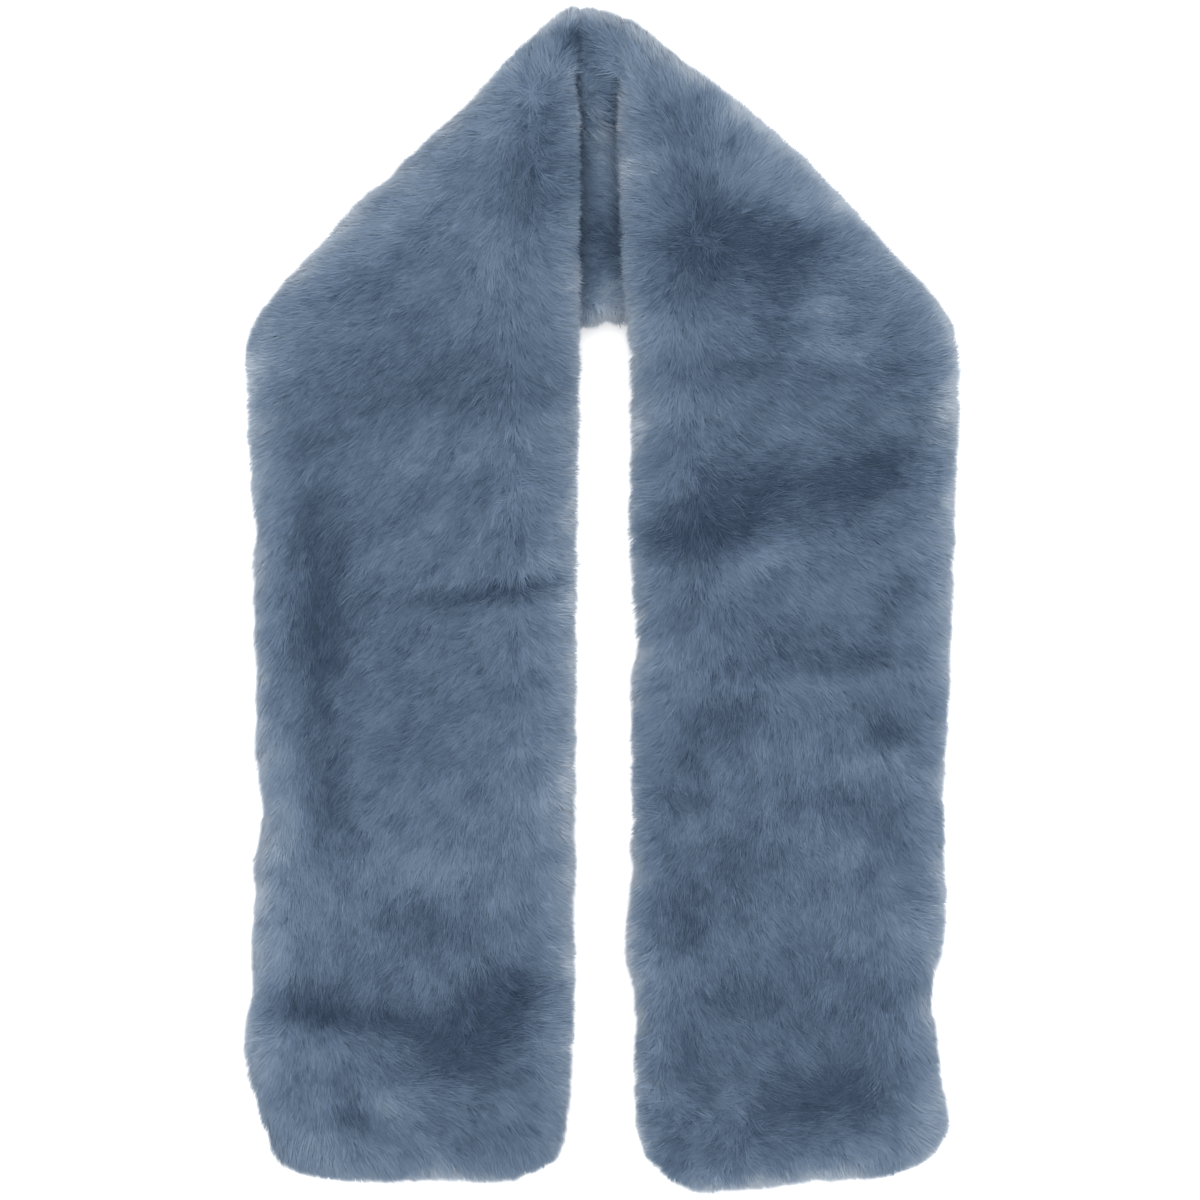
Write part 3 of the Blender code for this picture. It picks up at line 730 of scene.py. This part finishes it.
RIGHT_LIGHT_AND_SHADE = [
    Patch(29, 248, 40, 20, 90, 0.06), Patch(12, 286, 20, 14, 0, 0.12), Patch(81, 258, 30, 20, -40, 0.10),
    Patch(52, 226, 66, 22, -75, -0.16), Patch(52, 262, 44, 24, -40, -0.10),
    Patch(76, 196, 84, 38, 4, -0.42), Patch(90, 222, 90, 22, -14, 0.18), Patch(110, 208, 56, 18, -20, 0.10),
    Patch(190, 125, 80, 30, 90, 0.25), Patch(14, 226, 150, 12, 90, -0.30),
    Patch(15, 184, 60, 12, 90, -0.26), Patch(70, 176, 26, 16, 0, 0.10), Patch(92, 165, 52, 28, 60, -0.28),
    Patch(50, 176, 40, 24, 0, -0.10), Patch(112, 163, 28, 18, 40, 0.30), Patch(77, 131, 90, 15, -3, -0.22),
    Patch(78, 143, 30, 12, 0, 0.10), Patch(160, 129, 56, 16, 3, -0.18), Patch(125, 139, 28, 16, 0, 0.20),
    Patch(64, 52, 86, 33, 20, -0.46), Patch(50, 36, 46, 24, 20, -0.20), Patch(60, 80, 80, 20, 8, -0.16),
    Patch(142, 70, 84, 36, 28, -0.44), Patch(166, 90, 40, 26, 0, 0.16), Patch(97, 96, 30, 20, 0, 0.10),
    Patch(82, 22, 90, 12, 22, 0.14), Patch(40, -2, 40, 24, 40, -0.26), Patch(160, 6, 44, 24, 60, -0.22),
    Patch(88, -8, 40, 26, 0, -0.14), Patch(130, -26, 88, 18, 4, -0.28), Patch(100, -41, 80, 12, 8, 0.12),
    Patch(66, -60, 60, 34, 40, -0.28), Patch(30, -58, 26, 30, 0, -0.12),
    Patch(156, -64, 40, 24, -40, -0.28), Patch(177, -54, 36, 30, 0, -0.18),
    Patch(150, -82, 30, 14, 0, 0.14), Patch(41, -100, 44, 24, -10, -0.26),
    Patch(130, -104, 80, 18, 0, -0.12), Patch(48, -158, 44, 36, 88, -0.20),
    Patch(78, -138, 44, 38, 60, -0.20), Patch(53, -121, 18, 18, 0, 0.18), Patch(37, -126, 22, 30, 0, -0.22),
    Patch(158, -124, 50, 50, 0, -0.22), Patch(138, -131, 24, 18, 0, 0.22),
    Patch(41, -176, 44, 24, -70, -0.26), Patch(46, -198, 24, 20, 0, 0.20),
    Patch(76, -212, 60, 28, 0, -0.18), Patch(111, -198, 36, 26, 0, -0.10),
    Patch(160, -212, 50, 30, 0, -0.22), Patch(128, -270, 90, 38, 24, -0.44),
    Patch(110, -245, 130, 90, 0, -0.12), Patch(41, -252, 70, 28, -85, -0.30),
    Patch(66, -276, 22, 22, 0, 0.16), Patch(167, -276, 44, 20, 90, 0.16), Patch(86, -276, 28, 24, 0, -0.16),
    Patch(40, -300, 30, 24, 0, -0.12), Patch(74, -308, 66, 24, 0, -0.24), Patch(122, -311, 70, 12, 8, 0.14),
    Patch(20, -190, 220, 12, 90, 0.16), Patch(22, 34, 30, 14, 90, 0.14), Patch(24, -10, 30, 14, 90, 0.12),
    Patch(27, -298, 26, 20, 0, 0.14),
]
NECK_LIGHT_AND_SHADE = [
    Patch(-11, 232, 110, 6, 90, -0.10), Patch(-9, 281, 22, 8, 90, 0.10), Patch(-3, 249, 60, 16, 90, 0.30),
    Patch(5, 276, 24, 8, 76, -0.34), Patch(1, 203, 58, 34, 90, -0.24), Patch(4, 174, 24, 18, 0, 0.24),
    Patch(0, 160, 40, 16, 0, 0.20),
]
TUFT_LIGHT_AND_SHADE = [
    Patch(-9.5, 304, 18, 12, -62, -1.05), Patch(-7, 295, 9, 5, 0, -0.35), Patch(-1, 306, 70, 26, 0, -0.16),
    Patch(4, 318, 30, 10, 0, 0.10),
]

# A lock: its length, shorter at the apex, how high it stands, how much both vary, how far down it
# points, the slow swing in its direction, and how unruly single locks are. Then the steps of its
# path, how it stands up from a side that faces its way, and when it counts as past an edge.
LOCK_LENGTH, LENGTH_VARIES, LENGTH_LIMITS = 0.0105, 0.22, (0.55, 1.6)
APEX_SHORTENS, APEX_LENGTH = (0.294, 0.312), 0.75
LOCK_LIFT, LIFT_VARIES, LIFT_LIMITS = 0.0030, 0.18, (0.5, 1.5)
LOCK_DIVES = -0.10
SWING, SWING_SIZE = math.radians(12), 0.026
CALM, UNRULY = 0.13, 0.5
BRUSH_BLUR = 0.008
PATH_STEPS = 2
STANDS_MOST, STANDS_RISE = 0.75, 0.45
LEAVES_EDGE = 0.0006

# A hair: its width at the root, how far it lies from its lock's line and how much of that it loses at
# the tip, and how its tip strays, rises, turns and falls short.
HAIRS_IN_A_LOCK = 10
HAIR_WIDTH = 0.00072
HAIR_SPREAD, HAIR_GATHERS = 0.0012, 0.3
HAIR_STRAYS = 0.12
HAIR_RISES = (-0.0012, 0.0008)
HAIR_TURNS = 0.15
SHORTEST_HAIR, HAIR_RANGE, HAIR_SHAPE = 0.5, 0.85, (2, 2.6)
LOWEST_HAIR = 0.0002

# A lock's tone, 0 dark to 1 pale: its middle and its limits, soft mottles, fine streaks along the nap,
# and how much single locks and hairs differ, which is less where the fur is pale.
MID_TONE, LOCK_TONES, HAIR_TONES = 0.5, (0.12, 1), (0.02, 0.98)
MOTTLE, MOTTLE_SIZE = 0.06, 0.030
STREAK, STREAK_SIZE, STREAK_STRETCH = 0.045, 0.008, 0.4
LOCKS_DIFFER, HAIRS_DIFFER = 0.060, 0.043
DARK_DIFFERS, PALE_DIFFERS_LESS = 1.8, 1.6
# Half the width of a hair in the map of tones, which gives its triangle there an area.
HAIR_IN_MAP = 0.004
# Painted light at the pile's edges, standing in for the light that shows through the fur where it thins
# out: how much lighter, how far in that fades, and how much of it is taken off again right at the seam,
# where the pile is short. Then how far in that loss fades, and how low a normal's height is where the
# pile counts as facing down.
PAINTED_EDGE_LIGHT = {
    "outer": (0.61, 0.0144, 0.36),
    "inner": (0.56, 0.0092, 0.0),
    "hem": (0.84, 0.0135, 0.36),
    "fold": (0.62, 0.0130, 0.20),
    "lip": (0.38, 0.0120, 0.0),
}
DULL_FADES = 0.0018
FACES_DOWN = -0.1

# Locks are thicker where the pile turns down at a side, and thinner over a pile's last rows, which a
# fold turns under or the right tail covers.
SIDE_DENSER, LAST_ROWS, LAST_ROWS_THINNER = 0.6, FOLD_ROWS // 2, 0.4

# How much of a hair's shade is its tone, how much paler its tip is, and where its root starts.
TONE_SHARE, TIP_PALER, ROOT_DARKER = 0.9, 0.15, 0.045


def hair():
    """Guard hair: a lock's tone runs across the map and root to tip runs up it. Dark at the root,
    slate blue above, paler and greyer at the tip, and nearly matt."""
    made = Material("guard_hair", {"Roughness": 0.7, "Specular IOR Level": 0.15})
    place = made.node("ShaderNodeUVMap", {"uv_map": "OFBake"}).out("UV")
    parts = made.node("ShaderNodeSeparateXYZ", {}, {"Vector": place})
    tone, along = parts.out("X"), parts.out("Y")
    # The tone across the map carries painted light and shade: lighter at the edges, darker or lighter in
    # patches.
    shade = tone * TONE_SHARE + along * TIP_PALER - ROOT_DARKER
    colour = made.node("ShaderNodeValToRGB",
                       {"stops": [(0.0, FUR_ROOT), (0.3, FUR_SHADE), (0.6, FUR_BLUE),
                                  (0.8, FUR_PALE), (1.0, FUR_TIP)]},
                       {"Fac": shade}).out("Color")
    made.feed("Base Color", colour)
    return made.data


HAIR = hair()


def brushed(x, y, brush, chance):
    """Unit direction in plan at each point: the mean of the table's directions, weighed by
    1 / distance^4, and a random part that tells most where they disagree."""
    heading, weight = np.zeros((len(x), 2)), np.zeros((len(x), 1))
    for row in brush:
        near = ((x - row.x * MM) ** 2 + (y - row.y * MM) ** 2 + BRUSH_BLUR ** 2)[:, None] ** -2
        toward = math.radians(row.toward)
        heading += near * np.array([math.cos(toward), math.sin(toward)])
        weight += near
    heading /= weight
    unruly = CALM + UNRULY * (1 - np.linalg.norm(heading, axis=1, keepdims=True))
    heading += unruly * chance.standard_normal((len(x), 2))
    return heading / np.linalg.norm(heading, axis=1, keepdims=True)


def ripple(x, y, size, seed):
    """Smooth variation from about -1 to 1 over the plan: six sine waves of one size, turned."""
    chance = np.random.default_rng(seed)
    total = np.zeros(np.shape(x))
    for turn, phase, stretch in chance.uniform((0, 0, 0.7), (math.pi, 2 * math.pi, 1.4), (6, 3)):
        total += np.sin((x * math.cos(turn) + y * math.sin(turn)) * 2 * math.pi * stretch / size + phase)
    return total / 3


# How far into a grid's last cell a place may lie, which keeps it off the end of the arrays.
IN_LAST_CELL = 0.9999


class Pile:
    """A pile side as a smooth surface: points, slopes along its two grid directions and normals. An edge
    that gets painted light is given as the grid axis that leads to it and its index there. The distance
    from it is taken in plan where the pile faces up or aside, and else along the surface."""

    def __init__(self, grid, outwards, painted_light_edges):
        self.grid = grid
        self.by_row, self.by_column = np.gradient(grid, axis=0), np.gradient(grid, axis=1)
        normal = np.cross(self.by_row, self.by_column)
        normal /= np.maximum(np.linalg.norm(normal, axis=-1, keepdims=True), 1e-12)
        self.normal = normal * np.sign((normal * outwards).sum())
        self.painted_light_edges = {}
        for edge, (axis, index) in painted_light_edges.items():
            slope = (self.by_row, self.by_column)[axis]
            step = np.where(self.normal[..., 2] > FACES_DOWN, np.linalg.norm(slope[..., :2], axis=-1),
                            np.linalg.norm(slope, axis=-1))
            way = step.cumsum(axis=axis)
            self.painted_light_edges[edge] = np.abs(way - np.take(way, [index], axis))[..., None]

    def at(self, layer, row, column):
        """A layer's value between the grid's points: the four corners of the cell, weighed."""
        last_row, last_column = np.array(self.grid.shape[:2]) - 2 + IN_LAST_CELL
        r, c = np.clip(row, 0, last_row), np.clip(column, 0, last_column)
        i, j = r.astype(int), c.astype(int)
        v, u = (r - i)[:, None], (c - j)[:, None]
        return ((layer[i, j] * (1 - v) + layer[i + 1, j] * v) * (1 - u)
                + (layer[i, j + 1] * (1 - v) + layer[i + 1, j + 1] * v) * u)

    def scatter(self, count, rows, chance):
        """Random places over a band of rows, as many to a cell as its area and density earn."""
        first, last = rows
        area = np.linalg.norm(np.cross(self.by_row, self.by_column), axis=-1)
        area *= 1 + SIDE_DENSER - SIDE_DENSER * np.abs(self.normal[..., 2])
        area[-LAST_ROWS:] *= LAST_ROWS_THINNER
        area = area[first:last, :-1]
        total = np.cumsum(area.ravel())
        cell = np.searchsorted(total, chance.random(count) * total[-1])
        i, j = np.divmod(cell, area.shape[1])
        return first + i + chance.random(count), j + chance.random(count)


def unit(vectors):
    """Vectors brought to length 1."""
    return vectors / np.maximum(np.linalg.norm(vectors, axis=-1, keepdims=True), 1e-9)


def combed(x, y, brush, seed, chance):
    """The way each lock is combed, in plan: the brushed direction, turned by a slow swing."""
    plan = brushed(x, y, brush, chance)
    swing = SWING * ripple(x, y, SWING_SIZE, seed)
    return np.stack([plan[:, 0] * np.cos(swing) - plan[:, 1] * np.sin(swing),
                     plan[:, 0] * np.sin(swing) + plan[:, 1] * np.cos(swing)], axis=1)


def lock_paths(pile, row, column, heading, length, lift):
    """A lock's root and tip, and the pile's normal and the way ahead at both. The lock walks over
    the surface the way it is combed, rises from it, and carries straight on past an edge. Each step
    solves for the rows and columns whose slopes add up to the step."""
    rows, columns = np.array(pile.grid.shape[:2]) - 1
    offset = np.zeros((len(row), 3))
    path, ups, ahead = [], [], []
    for step in range(PATH_STEPS + 1):
        part = step / PATH_STEPS
        up = unit(pile.at(pile.normal, row, column))
        outwards = (heading * up).sum(axis=1, keepdims=True)
        stands = np.clip(outwards, 0, STANDS_MOST) * length[:, None] * part * STANDS_RISE
        along = heading - up * outwards
        rise = lift[:, None] * (1 - (1 - part) ** 2) + stands
        path.append(pile.at(pile.grid, row, column) + offset + up * rise)
        ups.append(up)
        ahead.append(along)
        wish = along * length[:, None] / PATH_STEPS
        slope_r, slope_c = pile.at(pile.by_row, row, column), pile.at(pile.by_column, row, column)
        rr, cc, rc = (slope_r ** 2).sum(1), (slope_c ** 2).sum(1), (slope_r * slope_c).sum(1)
        wr, wc = (wish * slope_r).sum(1), (wish * slope_c).sum(1)
        even = np.maximum(rr * cc - rc ** 2, 1e-18)
        new_row = np.clip(row + (wr * cc - wc * rc) / even, 0, rows)
        new_column = np.clip(column + (wc * rr - wr * rc) / even, 0, columns)
        walked = slope_r * (new_row - row)[:, None] + slope_c * (new_column - column)[:, None]
        left_over = wish - walked
        goes_on = np.linalg.norm(left_over, axis=1, keepdims=True) > LEAVES_EDGE
        offset = offset + np.where(goes_on, left_over, 0)
        row, column = new_row, new_column
    return [np.array(steps)[[0, -1]] for steps in (path, ups, ahead)]


def slivers(line, ups, ahead, length, chance):
    """The corners of every hair: root, tip, root. A hair's line is its lock's line, plus its own
    place in the lock, which narrows to the tip. It ends short of the lock's tip, or past it."""
    line, ups, ahead = [np.repeat(ends, HAIRS_IN_A_LOCK, axis=1) for ends in (line, ups, ahead)]
    hairs = line.shape[1]
    sides = unit(np.cross(ahead, ups))
    ahead = np.cross(ups, sides)
    beside, before = chance.normal(0, HAIR_SPREAD, (2, hairs))
    stray = HAIR_STRAYS * length * chance.standard_normal(hairs)
    rises = chance.uniform(*HAIR_RISES, hairs)
    short = 1 - (SHORTEST_HAIR + HAIR_RANGE * chance.beta(*HAIR_SHAPE, hairs))
    part = np.array([[0.0], [1.0]])
    root, tip = (line + sides * (beside * (1 - HAIR_GATHERS * part) + stray * part)[..., None]
                 + ahead * (before - short * length * part)[..., None]
                 + ups * (rises * part)[..., None])
    turn = chance.normal(0, HAIR_TURNS, hairs).clip(-1, 1)[:, None]
    half = (sides[0] * np.cos(turn) + ups[0] * np.sin(turn)) * (HAIR_WIDTH / 2)
    corners = np.stack([root + half, tip, root - half], axis=1).reshape(-1, 3)
    corners[:, 2] = np.maximum(corners[:, 2], LOWEST_HAIR)
    return corners


def lock_tones(pile, row, column, plan, light_and_shade, seed):
    """A lock's tone: middle + mottles + streaks along the nap + the lightest of the painted edge lights,
    each tone exp(-distance / fades) (1 - dull exp(-distance / dull_fades)), + the bells of the painted
    light and shade."""
    place = pile.at(pile.grid, row, column)
    x, y = place[:, 0], place[:, 1]
    light = np.zeros(len(x))
    for edge, distance in pile.painted_light_edges.items():
        tone, fades, dull = PAINTED_EDGE_LIGHT[edge]
        away = pile.at(distance, row, column)[:, 0]
        # Painted light, strongest at each edge and fading inwards.
        light = np.maximum(light, tone * np.exp(-away / fades) * (1 - dull * np.exp(-away / DULL_FADES)))
    with_nap, across_nap = x * plan[:, 0] + y * plan[:, 1], y * plan[:, 0] - x * plan[:, 1]
    shade = (MID_TONE + MOTTLE * ripple(x, y, MOTTLE_SIZE, seed)
             + STREAK * ripple(with_nap * STREAK_STRETCH, across_nap, STREAK_SIZE, seed + 1))
    shade += light + sum(row.tone * bell(x, y, row) for row in light_and_shade)
    return shade.clip(*LOCK_TONES)


def hair_mesh(name, corners, tones):
    """Hairs as one mesh, a triangle for each. Its map runs across the tones, and up from root to tip."""
    hairs = len(tones)
    uv = np.stack([tones[:, None] + np.array([HAIR_IN_MAP, 0, -HAIR_IN_MAP]),
                   np.broadcast_to([0, 1, 0], (hairs, 3))], axis=2)
    mesh = bpy.data.meshes.new(name)
    mesh.vertices.add(hairs * 3)
    mesh.vertices.foreach_set("co", corners.ravel())
    mesh.loops.add(hairs * 3)
    mesh.loops.foreach_set("vertex_index", np.arange(hairs * 3))
    mesh.polygons.add(hairs)
    mesh.polygons.foreach_set("loop_start", np.arange(hairs) * 3)
    mesh.update(calc_edges=True)
    mesh.uv_layers.new(name="OFBake").data.foreach_set("uv", uv.ravel())
    return mesh


def fur(name, pile, rows, locks, brush, light_and_shade, seed, length=LOCK_LENGTH, lift=LOCK_LIFT):
    """A piece of fur: locks of fine hairs, combed over a band of the pile's rows and toned."""
    chance = np.random.default_rng(seed)
    row, column = pile.scatter(locks, rows, chance)
    place = pile.at(pile.grid, row, column)
    plan = combed(place[:, 0], place[:, 1], brush, seed + 1, chance)
    heading = unit(np.concatenate([plan, np.full((locks, 1), LOCK_DIVES)], axis=1))
    long = length * (1 + LENGTH_VARIES * chance.standard_normal(locks)).clip(*LENGTH_LIMITS)
    long *= 1 - (1 - APEX_LENGTH) * eased(place[:, 1], *APEX_SHORTENS)
    high = lift * (1 + LIFT_VARIES * chance.standard_normal(locks)).clip(*LIFT_LIMITS)
    corners = slivers(*lock_paths(pile, row, column, heading, long, high), length, chance)

    shade = lock_tones(pile, row, column, plan, light_and_shade, seed + 2)
    differ = DARK_DIFFERS - PALE_DIFFERS_LESS * shade
    # Locks and hairs differ at random. The long dark tail of the gamma draws is painted shade, for the
    # shadowed gaps between locks.
    by_lock = LOCKS_DIFFER * (2 - chance.gamma(2, 1, locks))
    by_hair = HAIRS_DIFFER * (2 - chance.gamma(2, 1, locks * HAIRS_IN_A_LOCK))
    shade, differ, by_lock = [np.repeat(values, HAIRS_IN_A_LOCK) for values in (shade, differ, by_lock)]
    tones = (shade + differ * (by_lock + by_hair)).clip(*HAIR_TONES)

    made = bpy.data.objects.new(name, hair_mesh(name, corners, tones))
    bpy.context.scene.collection.objects.link(made)
    made.data.materials.append(HAIR)
    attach(made, "root")
    return made


UP, DOWN = (0, 0, 1), (0, 0, -1)
# How many locks each piece has, and what is special about the neck's. A tail's face is two pieces,
# which part at a row of its grid, and its underside has fur up to where it turns under its fold.
FACE_LOCKS, BACK_LOCKS, NECK_LOCKS, TUFT_LOCKS, NECK_BACK_LOCKS = 19300, 4700, 3200, 1400, 840
NECK_LENGTH, NECK_LIFT, TUFT_LENGTH = 0.009, 0.0020, 0.0120
PARTS_AT = 49
LAST_ROW = surfaces["left_tail_face"].shape[0] - 1
BACK_LAST_ROW = LAST_ROW - FOLD_ROWS - 8
FLAT_LIFT = 0.0002
# The neck's rows in the channel, and the column at which the tuft's pile turns down.
SEEN_ROWS = (NECK_COLUMNS[0] - 1, sum(NECK_COLUMNS[:2]) + 1)
TUFT_BRINK = 9
for tail, brush, light_and_shade in zip(TAILS, (LEFT_BRUSH, RIGHT_BRUSH), (LEFT_LIGHT_AND_SHADE, RIGHT_LIGHT_AND_SHADE)):
    pile = Pile(surfaces[tail.name + "_face"], UP,
                {"outer": (1, 0), "inner": (1, -1), "hem": (0, 0), "fold": (0, -1 - FOLD_ROWS // 2)})
    under = Pile(surfaces[tail.name + "_back"], DOWN, {})
    fur(tail.name + "_fur_hem", pile, (0, PARTS_AT), FACE_LOCKS, brush, light_and_shade, 11)
    fur(tail.name + "_fur_fold", pile, (PARTS_AT, LAST_ROW), FACE_LOCKS, brush, light_and_shade, 12)
    fur(tail.name + "_fur_under", under, (0, BACK_LAST_ROW), BACK_LOCKS, UNDER_BRUSH, [], 13,
            lift=FLAT_LIFT)
neck_pile = Pile(surfaces["neck_face"], UP, {"lip": (1, 0)})
tuft_pile = Pile(tuft_grid(), UP, {"fold": (1, TUFT_BRINK)})
neck_under = Pile(surfaces["neck_back"], DOWN, {})
fur("neck_fur", neck_pile, SEEN_ROWS, NECK_LOCKS, NECK_BRUSH, NECK_LIGHT_AND_SHADE, 14,
        length=NECK_LENGTH, lift=NECK_LIFT)
fur("neck_fur_tuft", tuft_pile, (0, TUFT_COLUMNS - 1), TUFT_LOCKS, TUFT_BRUSH, TUFT_LIGHT_AND_SHADE, 16,
        length=TUFT_LENGTH)
fur("neck_fur_under", neck_under, (0, sum(NECK_COLUMNS) - 1), NECK_BACK_LOCKS, UNDER_BRUSH, [], 15,
        lift=FLAT_LIFT)

# ---------------------------------------------------------------------------------------------
# Where it lies. A plain white floor that glows a little, one large soft lamp with a pale sky round
# it, and a camera straight overhead.
# ---------------------------------------------------------------------------------------------

# The width that the camera takes in at the pile's height, its lens and film, and how far it is off
# the middle.
VIEW_WIDTH = 0.6646
PILE_HEIGHT = 0.016
LENS, SENSOR = 200.0, 36.0
EYE_Y = 0.0005
# The floor's half width. The lamp hangs over the neck's side, and the sky fills the shadows.
FLOOR_HALF = 3.0
LAMP_PLACE, LAMP_SIZE, LAMP_WATTS = (0, 0.67, 4.5), 5.0, 200
SKY_STRENGTH = 1.07


def floor():
    """A flat square under the whole."""
    made = Material("floor_white", {"Base Color": (0.9, 0.9, 0.9, 1), "Roughness": 0.9,
                                    "Emission Color": (1, 1, 1, 1), "Emission Strength": 0.35})
    half = FLOOR_HALF
    corners = [(-half, -half, 0), (half, -half, 0), (half, half, 0), (-half, half, 0)]
    mesh = bpy.data.meshes.new("floor")
    mesh.from_pydata(corners, [], [(0, 1, 2, 3)])
    mesh.materials.append(made.data)
    placed = bpy.data.objects.new("floor", mesh)
    bpy.context.scene.collection.objects.link(placed)


def soft_light(name, place, size, watts):
    """A square area light that faces the middle of the floor, wherever it hangs."""
    lamp = bpy.data.lights.new(name, "AREA")
    lamp.size, lamp.energy = size, watts
    placed = bpy.data.objects.new(name, lamp)
    placed.location = place
    x, y, z = place
    placed.rotation_euler = (math.atan2(math.hypot(x, y), z), 0, math.atan2(x, -y))
    bpy.context.scene.collection.objects.link(placed)


floor()
soft_light("overhead", LAMP_PLACE, LAMP_SIZE, LAMP_WATTS)

world = bpy.data.worlds.new("studio")
world.use_nodes = True
world.node_tree.nodes["Background"].inputs["Color"].default_value = (1, 1, 1, 1)
world.node_tree.nodes["Background"].inputs["Strength"].default_value = SKY_STRENGTH
bpy.context.scene.world = world
bpy.context.scene.view_settings.view_transform = "Standard"

eye = bpy.data.cameras.new("overhead_camera")
eye.lens, eye.sensor_width = LENS, SENSOR
camera = bpy.data.objects.new("overhead_camera", eye)
camera.location = (0, EYE_Y, VIEW_WIDTH * LENS / SENSOR + PILE_HEIGHT)
bpy.context.scene.collection.objects.link(camera)
bpy.context.scene.camera = camera
